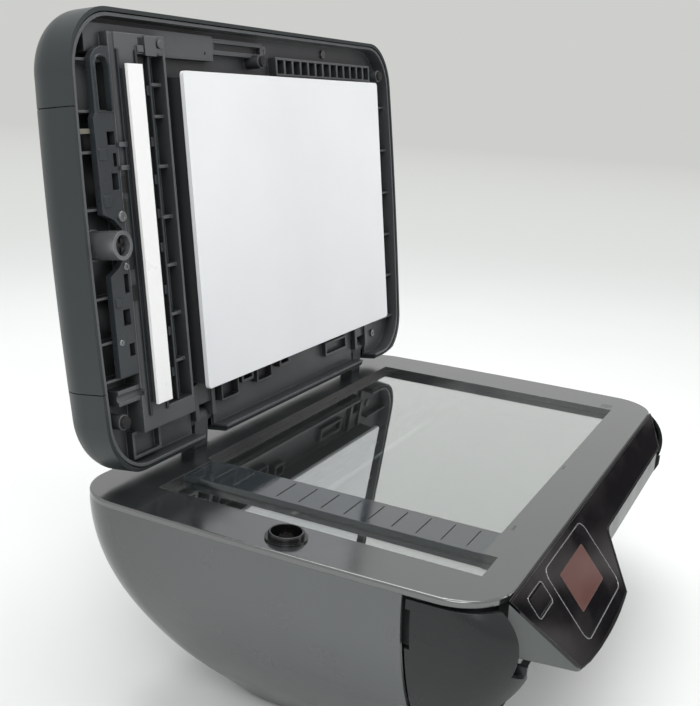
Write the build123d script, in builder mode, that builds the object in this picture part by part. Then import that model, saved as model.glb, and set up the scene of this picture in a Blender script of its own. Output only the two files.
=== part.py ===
"""Inkjet multifunction printer with its scanner lid open, at its real size in millimetres.

X runs to the right, Y to the back and Z up. The origin is on the floor, midway across the
printer and midway between its furthest points to the front and back with the lid open.
Lid pieces are drawn on lid_plane, whose origin is the hinge axis: its x stays X, its y runs
up the open lid and its z points out of the inner face, towards the bed once the lid is shut.
"""

import os
from math import cos, pi, radians, sin, sqrt

from build123d import *

os.makedirs("parts", exist_ok=True)

# Whole printer
bed_width = 446.0
bed_bow = 3.0
body_corner = 36.0
glass_back = 106.0
crease_y = glass_back - 248.0
bed_back = glass_back + 43.0
front_reach = 23.5
wall = 2.5
running = 0.05
gap = 0.4
seat = 0.2

# Heights
foot_height = 4.0
glass_top = 155.0
bed_top = 160.0
bezel_edge = 4.0
bezel_bottom = bed_top - bezel_edge
taper_start = 158.0
base_taper = 74.0
bulge_start = 118.0
base_top = 39.0

# Feet and floor
foot_radius = 9.0
foot_x = 118.0
foot_front = -62.0
foot_back = 50.0
pan_thickness = 3.0
post_size = 10.0
post_x = 134.0
post_front = -58.0
post_back = 24.0

# Scanner
glass_thickness = 3.0
glass_margin = 6.0
main_glass_left = -122.5
main_glass_right = 178.5
main_glass_back = glass_back + 1.0
main_glass_front = glass_back - 217.0
strip_glass_left = -184.5
strip_glass_right = -156.5
strip_glass_back = glass_back - 3.0
strip_glass_front = glass_back - 226.0
divider_front = main_glass_front + 0.4
divider_back = strip_glass_back - 0.4
divider_top = glass_top + 4.6
divider_step = 16.5
divider_groove = 1.0
glass_joint_x = -140.0
bezel_skirt = 6.0
tub_half_width = 211.0
tub_front = -133.0
tub_back = glass_back + 34.0
tub_bottom = 120.0
tub_wall = 2.5
tub_corner = 34.0
scan_rod_radius = 3.0
scan_rod_y = 40.0
scan_rod_z = 128.0
scan_rod_half = 205.0
scan_bar_width = 22.0
scan_bar_height = 14.0
scan_belt_y = 62.0
scan_belt_z = 127.0
scan_pulley_radius = 6.0
scan_pulley_x = 192.0
belt_thickness = 1.0
belt_height = 5.0
motor_shaft_radius = 1.5

# Feeder drive on the bed
drive_motor_radius = 8.5
cup_x = -203.5
cup_y = glass_back - 110.0
cup_radius = 11.0
cup_bore = 9.5
cup_height = 4.5
cup_floor = 150.0
coupler_radius = 5.0
coupler_shaft_radius = 3.0
coupler_top = 152.5
coupler_pin_radius = 1.2
coupler_boss_radius = 2.8
drive_gear_bottom = 138.0
drive_gear_height = 4.0
drive_module = 0.8
coupler_teeth = 10
drive_teeth = 20

# Control panel
panel_angle = 50.0
fascia_thickness = 1.6
panel_left = -204.5
panel_right = 197.0
spine_half = 190.0
display_low = (-133.5, -41.0)
display_high = (-83.5, -16.0)
button_low = (-183.5, -20.0)
button_high = (-160.5, -9.0)
button_rise = 0.6
flange_drop = 1.0
board_drop = 3.9
board_thickness = 1.6
housing_low = (-181.0, 112.0)
housing_high = (-147.0, 125.0)
housing_wall = 2.0

# Cartridge door
seam_y = -87.5
seam_gap = 2.5
door_pivot_y = -104.0
door_pivot_z = 40.0
door_bottom = 44.0
door_top_gap = 2.0
door_clear_radius = 89.0
bay_floor_half = 146.0
bay_half_top = 196.5
bay_half_bottom = 158.0
bay_widens_at = 88.0
apron_y = -141.0
apron_bottom = 98.0
apron_top = 121.0
door_pin_radius = 3.0
door_arm_x = 152.0
door_arm_width = 4.0
door_arm_radius = 5.5
door_web_z = 60.0
notch_length = 26.0
notch_depth = 3.0

# Lid
lid_lean = 7.3
pivot_y = glass_back + 25.2
pivot_z = glass_top + 26.6
lid_width = 447.0
lid_bow = 4.0
lid_behind = 13.8
lid_reach = 276.2
lid_corner = 38.0
rim_level = 19.1
lid_top_level = -22.4
crown_depth = 24.0
crown_inset = 26.0
frame_floor = 4.0
frame_skin = 2.5
frame_wall = 2.0
frame_rim = 18.4
pad_rise = 26.3
pad_thickness = 3.0
pad_margin = 1.4
strip_left = -178.0
strip_low = 29.5
strip_high = 243.0
strip_width = 15.0
strip_thickness = 2.0
slab_left = -186.0
slab_right = -130.0
slab_level = 19.5
channel_left = -160.0
channel_right = -132.0
trough_x = -182.5
bracket_low = 56.0
bracket_high = 206.0
sleeve_radius = 9.0
sleeve_rise = 30.8
dog_rise = 28.0
screw_radius = 1.5
hinge_left_x = -105.0
hinge_right_x = 150.0
hinge_half = 8.0
hinge_cheek = 4.0
hinge_round = 6.0
hinge_pin_radius = 3.0
hinge_reach = 26.0
hinge_notch = 14.0
swing_radius = 21.2
frame_inset = 3.2
feature_rise = 21.2

# Document feeder in the lid
cover_right = -110.0
cover_bottom = 45.0
cover_top = 218.0
cover_gap = 0.6
barrel_x = -114.0
barrel_level = -18.4
barrel_radius = 3.5
barrel_pin_radius = 1.5
recess_left = -104.0
recess_right = 190.0
recess_bottom = 20.0
recess_top = 245.0
recess_floor = -1.4
feed_slot_height = 5.0
tray_thickness = 2.5
tray_level = -15.5
tray_hinge_x = -100.0
tray_hinge_radius = 2.4
tray_pin_radius = 1.5
feeder_tray_right = 165.0
roller_radius = 8.0
roller_shaft_radius = 3.0
feed_roller_x = -150.0
pick_roller_x = -131.0
roller_level = -8.0
paper_half = 108.0

# Print engine
frame_half = 165.0
sheet_metal = 1.5
deck_height = 36.0
deck_back = 30.0
side_plate_top = 112.0
side_plate_front = -75.0
side_plate_back = 66.0
shelf_height = 60.0
shelf_back = 100.0
platen_half = 110.0
platen_front = -57.0
platen_back = 32.0
platen_top = 54.0
feed_y = 50.0
feed_z = 38.0
feed_radius = 16.0
feed_shaft_radius = 4.0
exit_y = -66.0
exit_z = 47.0
exit_radius = 7.0
exit_shaft_radius = 3.0
gear_module = 1.0
feed_teeth = 28
pinion_teeth = 10
feed_gear_x = -158.0
gear_width = 4.0
mesh_angle = 60.0
feed_pulley_radius = 12.0
rod_y = 20.0
rod_z = 90.0
rod_radius = 4.0
carriage_half = 26.0
carriage_park_x = 135.0
carriage_front = -52.0
carriage_back = 30.0
carriage_bottom = 58.0
carriage_top = 104.0
cartridge_width = 20.0
cartridge_length = 50.0
cartridge_top = 102.0
print_belt_y = 42.0
print_belt_z = 92.0
print_pulley_radius = 6.0
print_pulley_x = 150.0
pick_shaft_radius = 3.0
pick_radius = 11.0
pick_z = 32.0

inlet_x = -100.0
inlet_z = 80.0
inlet_width = 30.0
inlet_height = 18.0
inlet_back = glass_back + 23.5
usb_x = 178.6
usb_z = 82.0
usb_width = 12.0
usb_height = 12.0
usb_back = glass_back + 22.0
motor_radius = 12.0
motor_boss_radius = 4.0
motor_top = 86.0
drive_tab_z = 61.5
star_radius = 5.5
star_shaft_radius = 1.5
star_z = 60.2
paper_belt_x = -148.0

# Paper handling
tray_half = 120.0
tray_back = 62.0
tray_floor = 9.0
tray_skin = 2.0
tray_wall_top = 28.0
tray_rear_wall_top = 20.0
tray_front_top = 30.5
guide_thickness = 2.0
guide_pin_radius = 3.0
guide_front = -50.0
guide_back = 20.0
guide_pinion_teeth = 16
guide_module = 1.0
rack_teeth = 18
rack_overhang = 13.0
adf_tray_middle = 132.5
adf_pinion_x = -20.0
adf_guide_half = 108.0
rack_thickness = 2.0
output_half = 116.0
output_bottom = 32.4
output_thickness = 2.4
output_back = -22.0

lid_plane = Plane(
    origin=(0, pivot_y, pivot_z),
    x_dir=(1, 0, 0),
    z_dir=(0, -cos(radians(lid_lean)), sin(radians(lid_lean))),
)
panel_plane = Plane(
    origin=(0, crease_y, bed_top),
    x_dir=(1, 0, 0),
    z_dir=(0, -sin(radians(panel_angle)), cos(radians(panel_angle))),
)
scan_home_x = (strip_glass_left + strip_glass_right) / 2
coupler_up = pivot_y - cup_y
hinge_outer = hinge_half + gap + hinge_cheek
pad_left = main_glass_left + pad_margin
pad_right = main_glass_right - pad_margin
pad_low = pivot_y - main_glass_back + pad_margin
pad_high = pivot_y - main_glass_front - pad_margin
pad_level = pad_rise - pad_thickness
strip_level = pad_rise - strip_thickness
exit_pulley_radius = feed_pulley_radius * exit_radius / feed_radius
mesh_distance = (feed_teeth + pinion_teeth) * gear_module / 2 + 0.1
mesh_y = feed_y + mesh_distance * cos(radians(mesh_angle))
mesh_z = feed_z + mesh_distance * sin(radians(mesh_angle))
drive_distance = (coupler_teeth + drive_teeth) * drive_module / 2 + 0.1
drive_motor_x = cup_x + drive_distance
bumper_places = ((-10.0, 252.0), (196.0, 248.0), (-205.0, 24.0))
screw_places = ((-126.0, 13.0), (180.0, 8.0), (110.0, 264.0), (12.0, 262.0))
hinge_places = (hinge_left_x, hinge_right_x)
cartridge_x = (carriage_park_x - 12.0, carriage_park_x + 12.0)
far = 400.0


def save(builder, name):
    """Labels a finished piece and writes it."""
    builder.part.label = name
    export_step(builder.part, f"parts/{name}.step")


def block(low, high, mode=Mode.ADD, place=Location()):
    """A block between two opposite corners, in the open builder."""
    middle = [(low[i] + high[i]) / 2 for i in range(3)]
    size = [high[i] - low[i] for i in range(3)]
    with Locations(place * Pos(*middle)):
        Box(*size, mode=mode)


def bar_x(y, z, radius, low, high, mode=Mode.ADD, place=Location()):
    """A round bar along x, in the open builder."""
    with Locations(place * Pos((low + high) / 2, y, z)):
        Cylinder(radius, high - low, rotation=(0, 90, 0), mode=mode)


def bar_y(x, z, radius, low, high, mode=Mode.ADD, place=Location()):
    """A round bar along y, in the open builder."""
    with Locations(place * Pos(x, (low + high) / 2, z)):
        Cylinder(radius, high - low, rotation=(90, 0, 0), mode=mode)


def bar_z(x, y, radius, low, high, mode=Mode.ADD, place=Location()):
    """A round bar along z, in the open builder."""
    with Locations(place * Pos(x, y, (low + high) / 2)):
        Cylinder(radius, high - low, mode=mode)


def bowed_rectangle(half_width, low, high, corner, bow):
    """An outline with straight front and back, bowed sides and round corners."""
    middle = (low + high) / 2
    edge = half_width - bow
    with BuildSketch() as outline:
        with BuildLine():
            Line((-edge, low), (edge, low))
            ThreePointArc((edge, low), (half_width, middle), (edge, high))
            Line((edge, high), (-edge, high))
            ThreePointArc((-edge, high), (-half_width, middle), (-edge, low))
        make_face()
        fillet(outline.vertices(), corner)
    return outline.sketch


def body_outline(level, inset):
    """The body's outline at one height, its surface moved in by inset."""
    draw = base_taper * ((taper_start - level) / (taper_start - foot_height)) ** 2 + inset
    swell = max(0, (level - bulge_start) / (taper_start - bulge_start)) ** 2
    front = crease_y - front_reach * (1 - swell) + draw
    return bowed_rectangle(
        bed_width / 2 - draw, front, bed_back - draw, body_corner - inset, bed_bow
    )


def body_solid(inset):
    """The tapering body from its foot to the bezel, its surface moved in by inset."""
    with BuildPart() as body:
        for share in (0, 0.2, 0.4, 0.58, 0.74, 0.86, 1):
            level = foot_height + (bezel_bottom - foot_height) * share
            with BuildSketch(Plane.XY.offset(level)):
                add(body_outline(level, inset))
        loft()
    return body.part


def lid_outline(inset):
    """The lid's outline in lid_plane, drawn in by inset."""
    return bowed_rectangle(
        lid_width / 2 - inset,
        inset - lid_behind,
        lid_reach - inset,
        lid_corner - 0.6 * inset,
        lid_bow,
    )


def lid_solid(inset, low_level, high_level):
    """The crowned lid between its top face and its rim, moved in by inset."""
    with BuildPart() as lid:
        for depth in (0, 1.5, 4, 8.5, 15, crown_depth):
            rest = 1 - depth / crown_depth
            crown = crown_inset * (1 - sqrt(1 - rest**2))
            with BuildSketch(lid_plane.offset(low_level + depth)):
                add(lid_outline(inset + crown))
        loft()
        with BuildSketch(lid_plane.offset(low_level + crown_depth)):
            add(lid_outline(inset))
        extrude(amount=high_level - low_level - crown_depth)
    return lid.part


def belt_loop(plane, start, start_radius, end, end_radius, width):
    """A flat belt round two pulleys, drawn on a plane through its middle."""
    with BuildPart() as belt:
        for extra, mode in ((belt_thickness, Mode.ADD), (0, Mode.SUBTRACT)):
            with BuildSketch(plane):
                with Locations(start):
                    Circle(start_radius + running + extra)
                with Locations(end):
                    Circle(end_radius + running + extra)
                make_hull()
            extrude(amount=width / 2, both=True, mode=mode)
    return belt.part


def gear_sketch(teeth, module, bore):
    """A spur gear's outline with straight-flanked teeth and backlash."""
    pitch = teeth * module / 2
    with BuildSketch() as outline:
        Circle(pitch - 1.15 * module)
        with PolarLocations(pitch - 0.4 * module, teeth):
            Trapezoid(1.9 * module, 2.2 * module, 76, rotation=-90)
        if bore:
            Circle(bore, mode=Mode.SUBTRACT)
    return outline.sketch


def glass_windows(grow):
    """The outline of both glass windows with the divider between them, grown outwards."""
    with BuildSketch() as windows:
        for left, right, front, back in (
            (main_glass_left, main_glass_right, main_glass_front, main_glass_back),
            (strip_glass_left, strip_glass_right, strip_glass_front, strip_glass_back),
            (strip_glass_right, main_glass_left, divider_front, divider_back),
        ):
            with Locations(((left + right) / 2, (front + back) / 2)):
                Rectangle(right - left + 2 * grow, back - front + 2 * grow)
    return windows.sketch


def panel_outline(inset):
    """The control panel's outline on its slope, drawn in by inset."""
    with BuildSketch() as outline:
        with BuildLine():
            ThreePointArc((-174, -58.5), (-119.5, -64), (-62, -61.5))
            Polyline(
                (-62, -61.5),
                (-33, -25.5),
                (160, -25.5),
                (panel_right, 5),
                (panel_left, 2),
                (-174, -58.5),
            )
        make_face()
        for corner, radius in ((4, 14), (3, 22), (2, 10), (1, 9)):
            fillet(outline.vertices().sort_by(Axis.X)[corner], radius)
        if inset:
            offset(amount=-inset, mode=Mode.REPLACE)
    return outline.sketch


def under_panel(lift):
    """Everything below the control panel's sloping underside, seen from the side."""
    rise = (housing_high[1] - housing_low[1]) / (housing_high[0] - housing_low[0])
    with BuildSketch() as below:
        with BuildLine():
            Polyline(
                (housing_low[0] - 50, 0),
                (housing_low[0] - 50, housing_low[1] - 50 * rise + lift),
                (housing_high[0] + 50, housing_high[1] + 50 * rise + lift),
                (housing_high[0] + 50, 0),
                close=True,
            )
        make_face()
    return below.sketch


def paper_guide_shape(side, half, along, height, place):
    """One paper guide and its rack, added to the open builder; x is across the paper."""
    low, high = sorted((side * half, side * (half + guide_thickness)))
    block((low, along[0], 0), (high, along[1], height), place=place)
    reach = guide_module * guide_pinion_teeth / 2
    rack_low, rack_high = sorted((side * (half + 1), -side * rack_overhang))
    arm_low, arm_high = sorted((-side * (reach + 1.2), -side * (reach + 5)))
    block((rack_low, arm_low, 0), (rack_high, arm_high, rack_thickness), place=place)
    middle = side * 5 * pi * guide_module
    with Locations(place * Pos(middle, -side * (reach + 0.4), rack_thickness / 2)):
        with GridLocations(pi * guide_module, 1, rack_teeth, 1):
            Box(0.95 * guide_module, 2 * guide_module, rack_thickness)


# Casing

body_outside = body_solid(0)
body_inside = body_solid(wall)
pan_top = foot_height + pan_thickness

# Four soft feet carry the printer
with BuildPart() as rubber_feet:
    with Locations((0, (foot_front + foot_back) / 2, foot_height / 2)):
        with GridLocations(2 * foot_x, foot_back - foot_front, 2, 2):
            Cylinder(foot_radius, foot_height)
    fillet(rubber_feet.edges().group_by(Axis.Z)[0], 1)
save(rubber_feet, "rubber_feet")

# The floor carries the print frame on posts and guides the paper tray between two rails
with BuildPart() as base_pan:
    add(body_solid(wall + seat))
    block((-far, -far, pan_top), (far, far, far), mode=Mode.SUBTRACT)
    for x in (-post_x, post_x):
        for y in (post_front, post_back):
            block(
                (x - post_size / 2, y - post_size / 2, pan_top),
                (x + post_size / 2, y + post_size / 2, deck_height),
            )
    for side in (-1, 1):
        rail = sorted((side * (tray_half + gap), side * (tray_half + gap + 2)))
        block((rail[0], -78, pan_top), (rail[1], tray_back, pan_top + 12))
        runner = sorted((side * (tray_half - 14), side * (tray_half - 8)))
        block((runner[0], -78, pan_top), (runner[1], tray_back, tray_floor - running))
save(base_pan, "base_pan")

# The casing is one tapering shell, open below, above, and in front of the side seams
with BuildPart() as body_casing:
    add(body_outside)
    add(body_inside, mode=Mode.SUBTRACT)
    block((-far, -far, base_top), (far, seam_y, far), mode=Mode.SUBTRACT)
    block(
        (-tray_half - gap, -far, tray_floor - 1.4),
        (tray_half + gap, -70, tray_front_top + gap),
        mode=Mode.SUBTRACT,
    )
    block(
        (-output_half - gap, -far, output_bottom - gap),
        (output_half + gap, -70, output_bottom + output_thickness + gap),
        mode=Mode.SUBTRACT,
    )
    # The output bay's floor joins the band above the output slot
    block((-bay_floor_half, -far, base_top), (bay_floor_half, side_plate_front - 1, base_top + wall))
    add(body_outside, mode=Mode.INTERSECT)
    with BuildSketch(Plane.XZ.offset(-far)):
        with Locations((inlet_x, inlet_z)):
            Rectangle(inlet_width + 2 * seat, inlet_height + 2 * seat)
        with Locations((usb_x, usb_z)):
            Rectangle(usb_width + 2 * seat, usb_height + 2 * seat)
        with Locations((20, 92)):
            with GridLocations(7, 1, 9, 1):
                SlotOverall(24, 3, rotation=90)
    extrude(amount=far - shelf_back, mode=Mode.SUBTRACT)
save(body_casing, "body_casing")

# The cartridge door is an arch: two wings of the body's own surface joined by an apron.
# Its edges that pass under the control panel lie on a round about the door's hinge.
with BuildPart() as access_door:
    add(body_outside)
    add(body_inside, mode=Mode.SUBTRACT)
    block((-far, seam_y - seam_gap, 0), (far, far, far), mode=Mode.SUBTRACT)
    block((-far, -far, 0), (far, far, door_bottom), mode=Mode.SUBTRACT)
    block((-far, -far, bezel_bottom - door_top_gap), (far, far, far), mode=Mode.SUBTRACT)
    with BuildSketch(Plane.XZ.offset(far)):
        with BuildLine():
            Polyline(
                (-bay_half_bottom, 0),
                (-bay_half_bottom, door_bottom),
                (-bay_half_top, bay_widens_at),
                (-bay_half_top, far),
                (bay_half_top, far),
                (bay_half_top, bay_widens_at),
                (bay_half_bottom, door_bottom),
                (bay_half_bottom, 0),
                close=True,
            )
        make_face()
    extrude(amount=-2 * far, mode=Mode.SUBTRACT)
    # The wing's inner edge beside the panel housing clears it as the door swings
    with BuildSketch(Plane.YZ.offset(panel_left - 2)):
        Rectangle(far, far)
        with Locations((door_pivot_y, door_pivot_z)):
            Circle(door_clear_radius, mode=Mode.SUBTRACT)
    extrude(amount=-2 * panel_left, mode=Mode.SUBTRACT)
    # The apron is a flat plate set back between the wings, with a return at each end
    block(
        (-bay_half_top - wall, apron_y, apron_bottom),
        (bay_half_top + wall, apron_y + wall, apron_top),
    )
    for side in (-1, 1):
        inner = side * bay_half_top
        outer = side * (bay_half_top + wall)
        low, high = sorted((inner, outer))
        block((low, apron_y - 14, apron_bottom), (high, apron_y + wall, apron_top))
        # Each wing turns on an arm with a web that reaches out to its shell
        near = side * door_arm_x
        low, high = sorted((near, near + side * door_arm_width))
        block((low, door_pivot_y - 4, door_pivot_z), (high, door_pivot_y + 4, door_web_z + wall))
        bar_x(door_pivot_y, door_pivot_z, door_arm_radius, low, high)
        low, high = sorted((near, side * (bed_width / 2)))
        block((low, door_pivot_y - 8, door_web_z), (high, door_pivot_y + 8, door_web_z + wall))
        # A finger notch at the top of each seam
        low, high = sorted((side * (tub_half_width + 1), side * far))
        block(
            (low, seam_y - seam_gap - notch_depth, bezel_bottom - 8 - notch_length),
            (high, seam_y, bezel_bottom - 8),
            mode=Mode.SUBTRACT,
        )
    bar_x(
        door_pivot_y,
        door_pivot_z,
        door_pin_radius + running,
        -door_arm_x - door_arm_width,
        door_arm_x + door_arm_width,
        mode=Mode.SUBTRACT,
    )
    add(body_outside, mode=Mode.INTERSECT)
save(access_door, "access_door")

# Print engine

# Folded sheet metal holds the rod, the rollers and the motors
with BuildPart() as print_frame:
    block((-frame_half, side_plate_front, deck_height), (frame_half, deck_back, deck_height + sheet_metal))
    block(
        (-frame_half, side_plate_back - sheet_metal, shelf_height),
        (frame_half, side_plate_back, side_plate_top),
    )
    block(
        (-frame_half, side_plate_back, shelf_height),
        (frame_half, shelf_back, shelf_height + sheet_metal),
    )
    for side in (-1, 1):
        low, high = sorted((side * (frame_half - sheet_metal), side * frame_half))
        block((low, side_plate_front, deck_height), (high, side_plate_back, side_plate_top))
        # Tab for the carriage drive
        low, high = sorted((side * (print_pulley_x - 14), side * frame_half))
        block((low, carriage_back + 2, drive_tab_z), (high, side_plate_back, drive_tab_z + sheet_metal))
        # Ear and pin for the cartridge door
        low, high = sorted((side * (door_arm_x - 12), side * (door_arm_x - gap)))
        block((low, door_pivot_y + 6, deck_height), (high, side_plate_front, deck_height + sheet_metal))
        low, high = sorted((side * (door_arm_x - gap - 3), side * (door_arm_x - gap)))
        block((low, door_pivot_y - 5, deck_height), (high, door_pivot_y + 8, door_pivot_z + 6))
        low, high = sorted((side * (door_arm_x - gap), side * (door_arm_x + door_arm_width)))
        bar_x(door_pivot_y, door_pivot_z, door_pin_radius, low, high)
    # Windows in the deck for the pickup roller and the two strands of the paper drive belt
    block((-24, -14, 0), (24, 14, deck_height + 5), mode=Mode.SUBTRACT)
    block(
        (paper_belt_x - 4, exit_y - 8, 0),
        (paper_belt_x + 4, deck_back, deck_height + 5),
        mode=Mode.SUBTRACT,
    )
    for side in (-1, 1):
        low, high = sorted((side * 24, side * 26))
        block((low, -6, pick_z - 6), (high, 6, deck_height + sheet_metal))
    bar_x(0, pick_z, pick_shaft_radius + running, -27, 27, mode=Mode.SUBTRACT)
    for y, z, radius in (
        (feed_y, feed_z, feed_shaft_radius + running),
        (exit_y, exit_z, exit_shaft_radius + running),
        (exit_y, star_z, star_shaft_radius + running),
    ):
        bar_x(y, z, radius, -frame_half - 1, frame_half + 1, mode=Mode.SUBTRACT)
    bar_x(rod_y, rod_z, rod_radius, -frame_half - 1, frame_half + 1, mode=Mode.SUBTRACT)
    bar_x(mesh_y, mesh_z, motor_boss_radius, -frame_half - 1, -frame_half + 3, mode=Mode.SUBTRACT)
    # A smooth post turns the carriage belt round at the right-hand end
    bar_z(
        print_pulley_x,
        print_belt_y,
        print_pulley_radius,
        drive_tab_z + sheet_metal,
        print_belt_z + belt_height / 2,
    )
save(print_frame, "print_frame")

# The ribbed platen holds the paper flat under the cartridges
with BuildPart() as platen:
    block((-platen_half, platen_front, platen_top - 5), (platen_half, platen_back - 2, platen_top - 1.5))
    with Locations((0, (platen_front + platen_back - 2) / 2, platen_top - 0.75)):
        with GridLocations(12, 1, 17, 1):
            Box(1.6, platen_back - 2 - platen_front, 1.5)
    for x in (-platen_half + 10, platen_half - 10):
        for y in (-40, 24):
            block((x - 4, y - 4, deck_height + sheet_metal), (x + 4, y + 4, platen_top - 5))
save(platen, "platen")

# The feed shaft turns paper up from the tray; its gear and belt pulley are moulded to it
with BuildPart() as feed_shaft:
    bar_x(feed_y, feed_z, feed_shaft_radius, -frame_half - 2, frame_half + 2)
    with BuildSketch(Plane.YZ.offset(feed_gear_x)):
        with Locations((feed_y, feed_z)):
            add(gear_sketch(feed_teeth, gear_module, feed_shaft_radius), rotation=mesh_angle)
    extrude(amount=gear_width)
    bar_x(feed_y, feed_z, feed_pulley_radius, paper_belt_x - 3, paper_belt_x + 3)
    for edge in (-3, 2.5):
        bar_x(feed_y, feed_z, feed_pulley_radius + 1, paper_belt_x + edge, paper_belt_x + edge + 0.5)
save(feed_shaft, "feed_shaft")

with BuildPart() as feed_tyres:
    for x in (-78, 0, 78):
        bar_x(feed_y, feed_z, feed_radius, x - 14, x + 14)
        bar_x(feed_y, feed_z, feed_shaft_radius, x - 14, x + 14, mode=Mode.SUBTRACT)
save(feed_tyres, "feed_tyres")

with BuildPart() as motor_pinion:
    with BuildSketch(Plane.YZ.offset(feed_gear_x)):
        with Locations((mesh_y, mesh_z)):
            add(gear_sketch(pinion_teeth, gear_module, 0), rotation=mesh_angle + 180 + 180 / pinion_teeth)
    extrude(amount=gear_width)
    bar_x(mesh_y, mesh_z, motor_shaft_radius, -frame_half - 8, feed_gear_x)
save(motor_pinion, "motor_pinion")

# The exit roller pushes the finished page out into the bay
with BuildPart() as exit_roller:
    bar_x(exit_y, exit_z, exit_shaft_radius, -frame_half - 2, frame_half + 2)
    for x in (-88, -44, 0, 44, 88):
        bar_x(exit_y, exit_z, exit_radius, x - 6, x + 6)
    bar_x(exit_y, exit_z, exit_pulley_radius, paper_belt_x - 3, paper_belt_x + 3)
    for edge in (-3, 2.5):
        bar_x(exit_y, exit_z, exit_pulley_radius + 1, paper_belt_x + edge, paper_belt_x + edge + 0.5)
save(exit_roller, "exit_roller")

# Thin star wheels hold the fresh page down on the exit rollers
with BuildPart() as star_wheels:
    bar_x(exit_y, star_z, star_shaft_radius, -frame_half - 2, frame_half + 2)
    with BuildSketch(Plane.YZ) as star:
        with Locations((exit_y, star_z)):
            Circle(star_radius - 1.5)
            with PolarLocations(star_radius - 1.4, 12):
                Triangle(a=1.9, b=1.9, c=1.2, rotation=-90)
    for x in (-88, -44, 0, 44, 88):
        extrude(to_extrude=Pos(x - 0.5, 0, 0) * star.sketch, amount=1)
save(star_wheels, "star_wheels")

with BuildPart() as paper_drive_belt:
    add(
        belt_loop(
            Plane.YZ.offset(paper_belt_x),
            (feed_y, feed_z),
            feed_pulley_radius,
            (exit_y, exit_z),
            exit_pulley_radius,
            belt_height - 1,
        )
    )
save(paper_drive_belt, "paper_drive_belt")

# A rubber roller picks the top sheet out of the tray
with BuildPart() as pickup_roller:
    bar_x(0, pick_z, pick_radius, -17, 17)
    bar_x(0, pick_z, pick_shaft_radius, -27, 27)
save(pickup_roller, "pickup_roller")

# Two steel rods guide the print carriage and the scan carriage
with BuildPart() as guide_rods:
    bar_x(rod_y, rod_z, rod_radius, -frame_half - 1, frame_half + 1)
    bar_x(scan_rod_y, scan_rod_z, scan_rod_radius, -scan_rod_half, scan_rod_half)
save(guide_rods, "guide_rods")

# The carriage holds two cartridges and clasps the belt behind it
with BuildPart() as print_carriage:
    left = carriage_park_x - carriage_half
    right = carriage_park_x + carriage_half
    block((left, carriage_front, carriage_bottom), (right, carriage_back, carriage_top))
    fillet(print_carriage.edges().filter_by(Axis.Z), 2)
    bar_x(rod_y, rod_z, rod_radius + running, left - 1, right + 1, mode=Mode.SUBTRACT)
    for x in cartridge_x:
        block(
            (x - cartridge_width / 2 - seat, carriage_front + 3 - seat, carriage_bottom + 3),
            (
                x + cartridge_width / 2 + seat,
                carriage_front + 3 + cartridge_length + seat,
                carriage_top + 1,
            ),
            mode=Mode.SUBTRACT,
        )
        block(
            (x - 7, carriage_front + 8, carriage_bottom - 1),
            (x + 7, carriage_front + 34, carriage_bottom + 4),
            mode=Mode.SUBTRACT,
        )
    # The clasp that holds the belt
    block(
        (carriage_park_x - 10, carriage_back, print_belt_z - 2),
        (
            carriage_park_x + 10,
            print_belt_y - print_pulley_radius - belt_thickness - gap,
            print_belt_z + 2,
        ),
    )
save(print_carriage, "print_carriage")

# Each cartridge has a body, a grip edge and a print head that looks down through the carriage
with BuildPart() as ink_cartridges:
    for x in cartridge_x:
        y_front = carriage_front + 3
        block(
            (x - cartridge_width / 2, y_front, carriage_bottom + 3),
            (x + cartridge_width / 2, y_front + cartridge_length, cartridge_top),
        )
    fillet(ink_cartridges.edges().filter_by(Axis.Z), 1.5)
    for x in cartridge_x:
        block((x - 6, y_front + 6, carriage_bottom - 1.2), (x + 6, y_front + 30, carriage_bottom + 3))
        block((x - 8, y_front, cartridge_top), (x + 8, y_front + 8, cartridge_top + 4))
save(ink_cartridges, "ink_cartridges")

# One motor turns the feed shaft and one pulls the carriage belt
with BuildPart() as print_motors:
    bar_x(mesh_y, mesh_z, motor_radius, -frame_half - 12, -frame_half)
    bar_x(mesh_y, mesh_z, motor_boss_radius, -frame_half, -frame_half + sheet_metal)
    bar_x(
        mesh_y,
        mesh_z,
        motor_shaft_radius + running,
        -frame_half - 9,
        -frame_half + 2,
        mode=Mode.SUBTRACT,
    )
    bar_z(-print_pulley_x, print_belt_y, motor_radius - 2.5, drive_tab_z + sheet_metal, motor_top)
    bar_z(
        -print_pulley_x,
        print_belt_y,
        motor_shaft_radius + running,
        motor_top - 6,
        motor_top + 1,
        mode=Mode.SUBTRACT,
    )
save(print_motors, "print_motors")

with BuildPart() as carriage_pulley:
    low = print_belt_z - belt_height / 2
    bar_z(-print_pulley_x, print_belt_y, print_pulley_radius, low, low + belt_height)
    bar_z(-print_pulley_x, print_belt_y, motor_shaft_radius, motor_top - 5, low + belt_height + 1)
save(carriage_pulley, "carriage_pulley")

with BuildPart() as carriage_belt:
    add(
        belt_loop(
            Plane.XY.offset(print_belt_z),
            (-print_pulley_x, print_belt_y),
            print_pulley_radius,
            (print_pulley_x, print_belt_y),
            print_pulley_radius,
            belt_height - 1,
        )
    )
save(carriage_belt, "carriage_belt")

# The service station caps and wipes the print heads at the right-hand end
with BuildPart() as service_station:
    block((112, -50, deck_height + sheet_metal), (160, 10, deck_height + 14))
    block((115, -47, deck_height + 10), (157, 7, deck_height + 15), mode=Mode.SUBTRACT)
    block((115, -4, deck_height + 8), (157, -2, deck_height + 18))
    for x in cartridge_x:
        block((x - 8, -46, deck_height + 8), (x + 8, -17, carriage_bottom - 1.6))
        block((x - 6.5, -44, carriage_bottom - 3), (x + 6.5, -19, carriage_bottom), mode=Mode.SUBTRACT)
save(service_station, "service_station")

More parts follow.
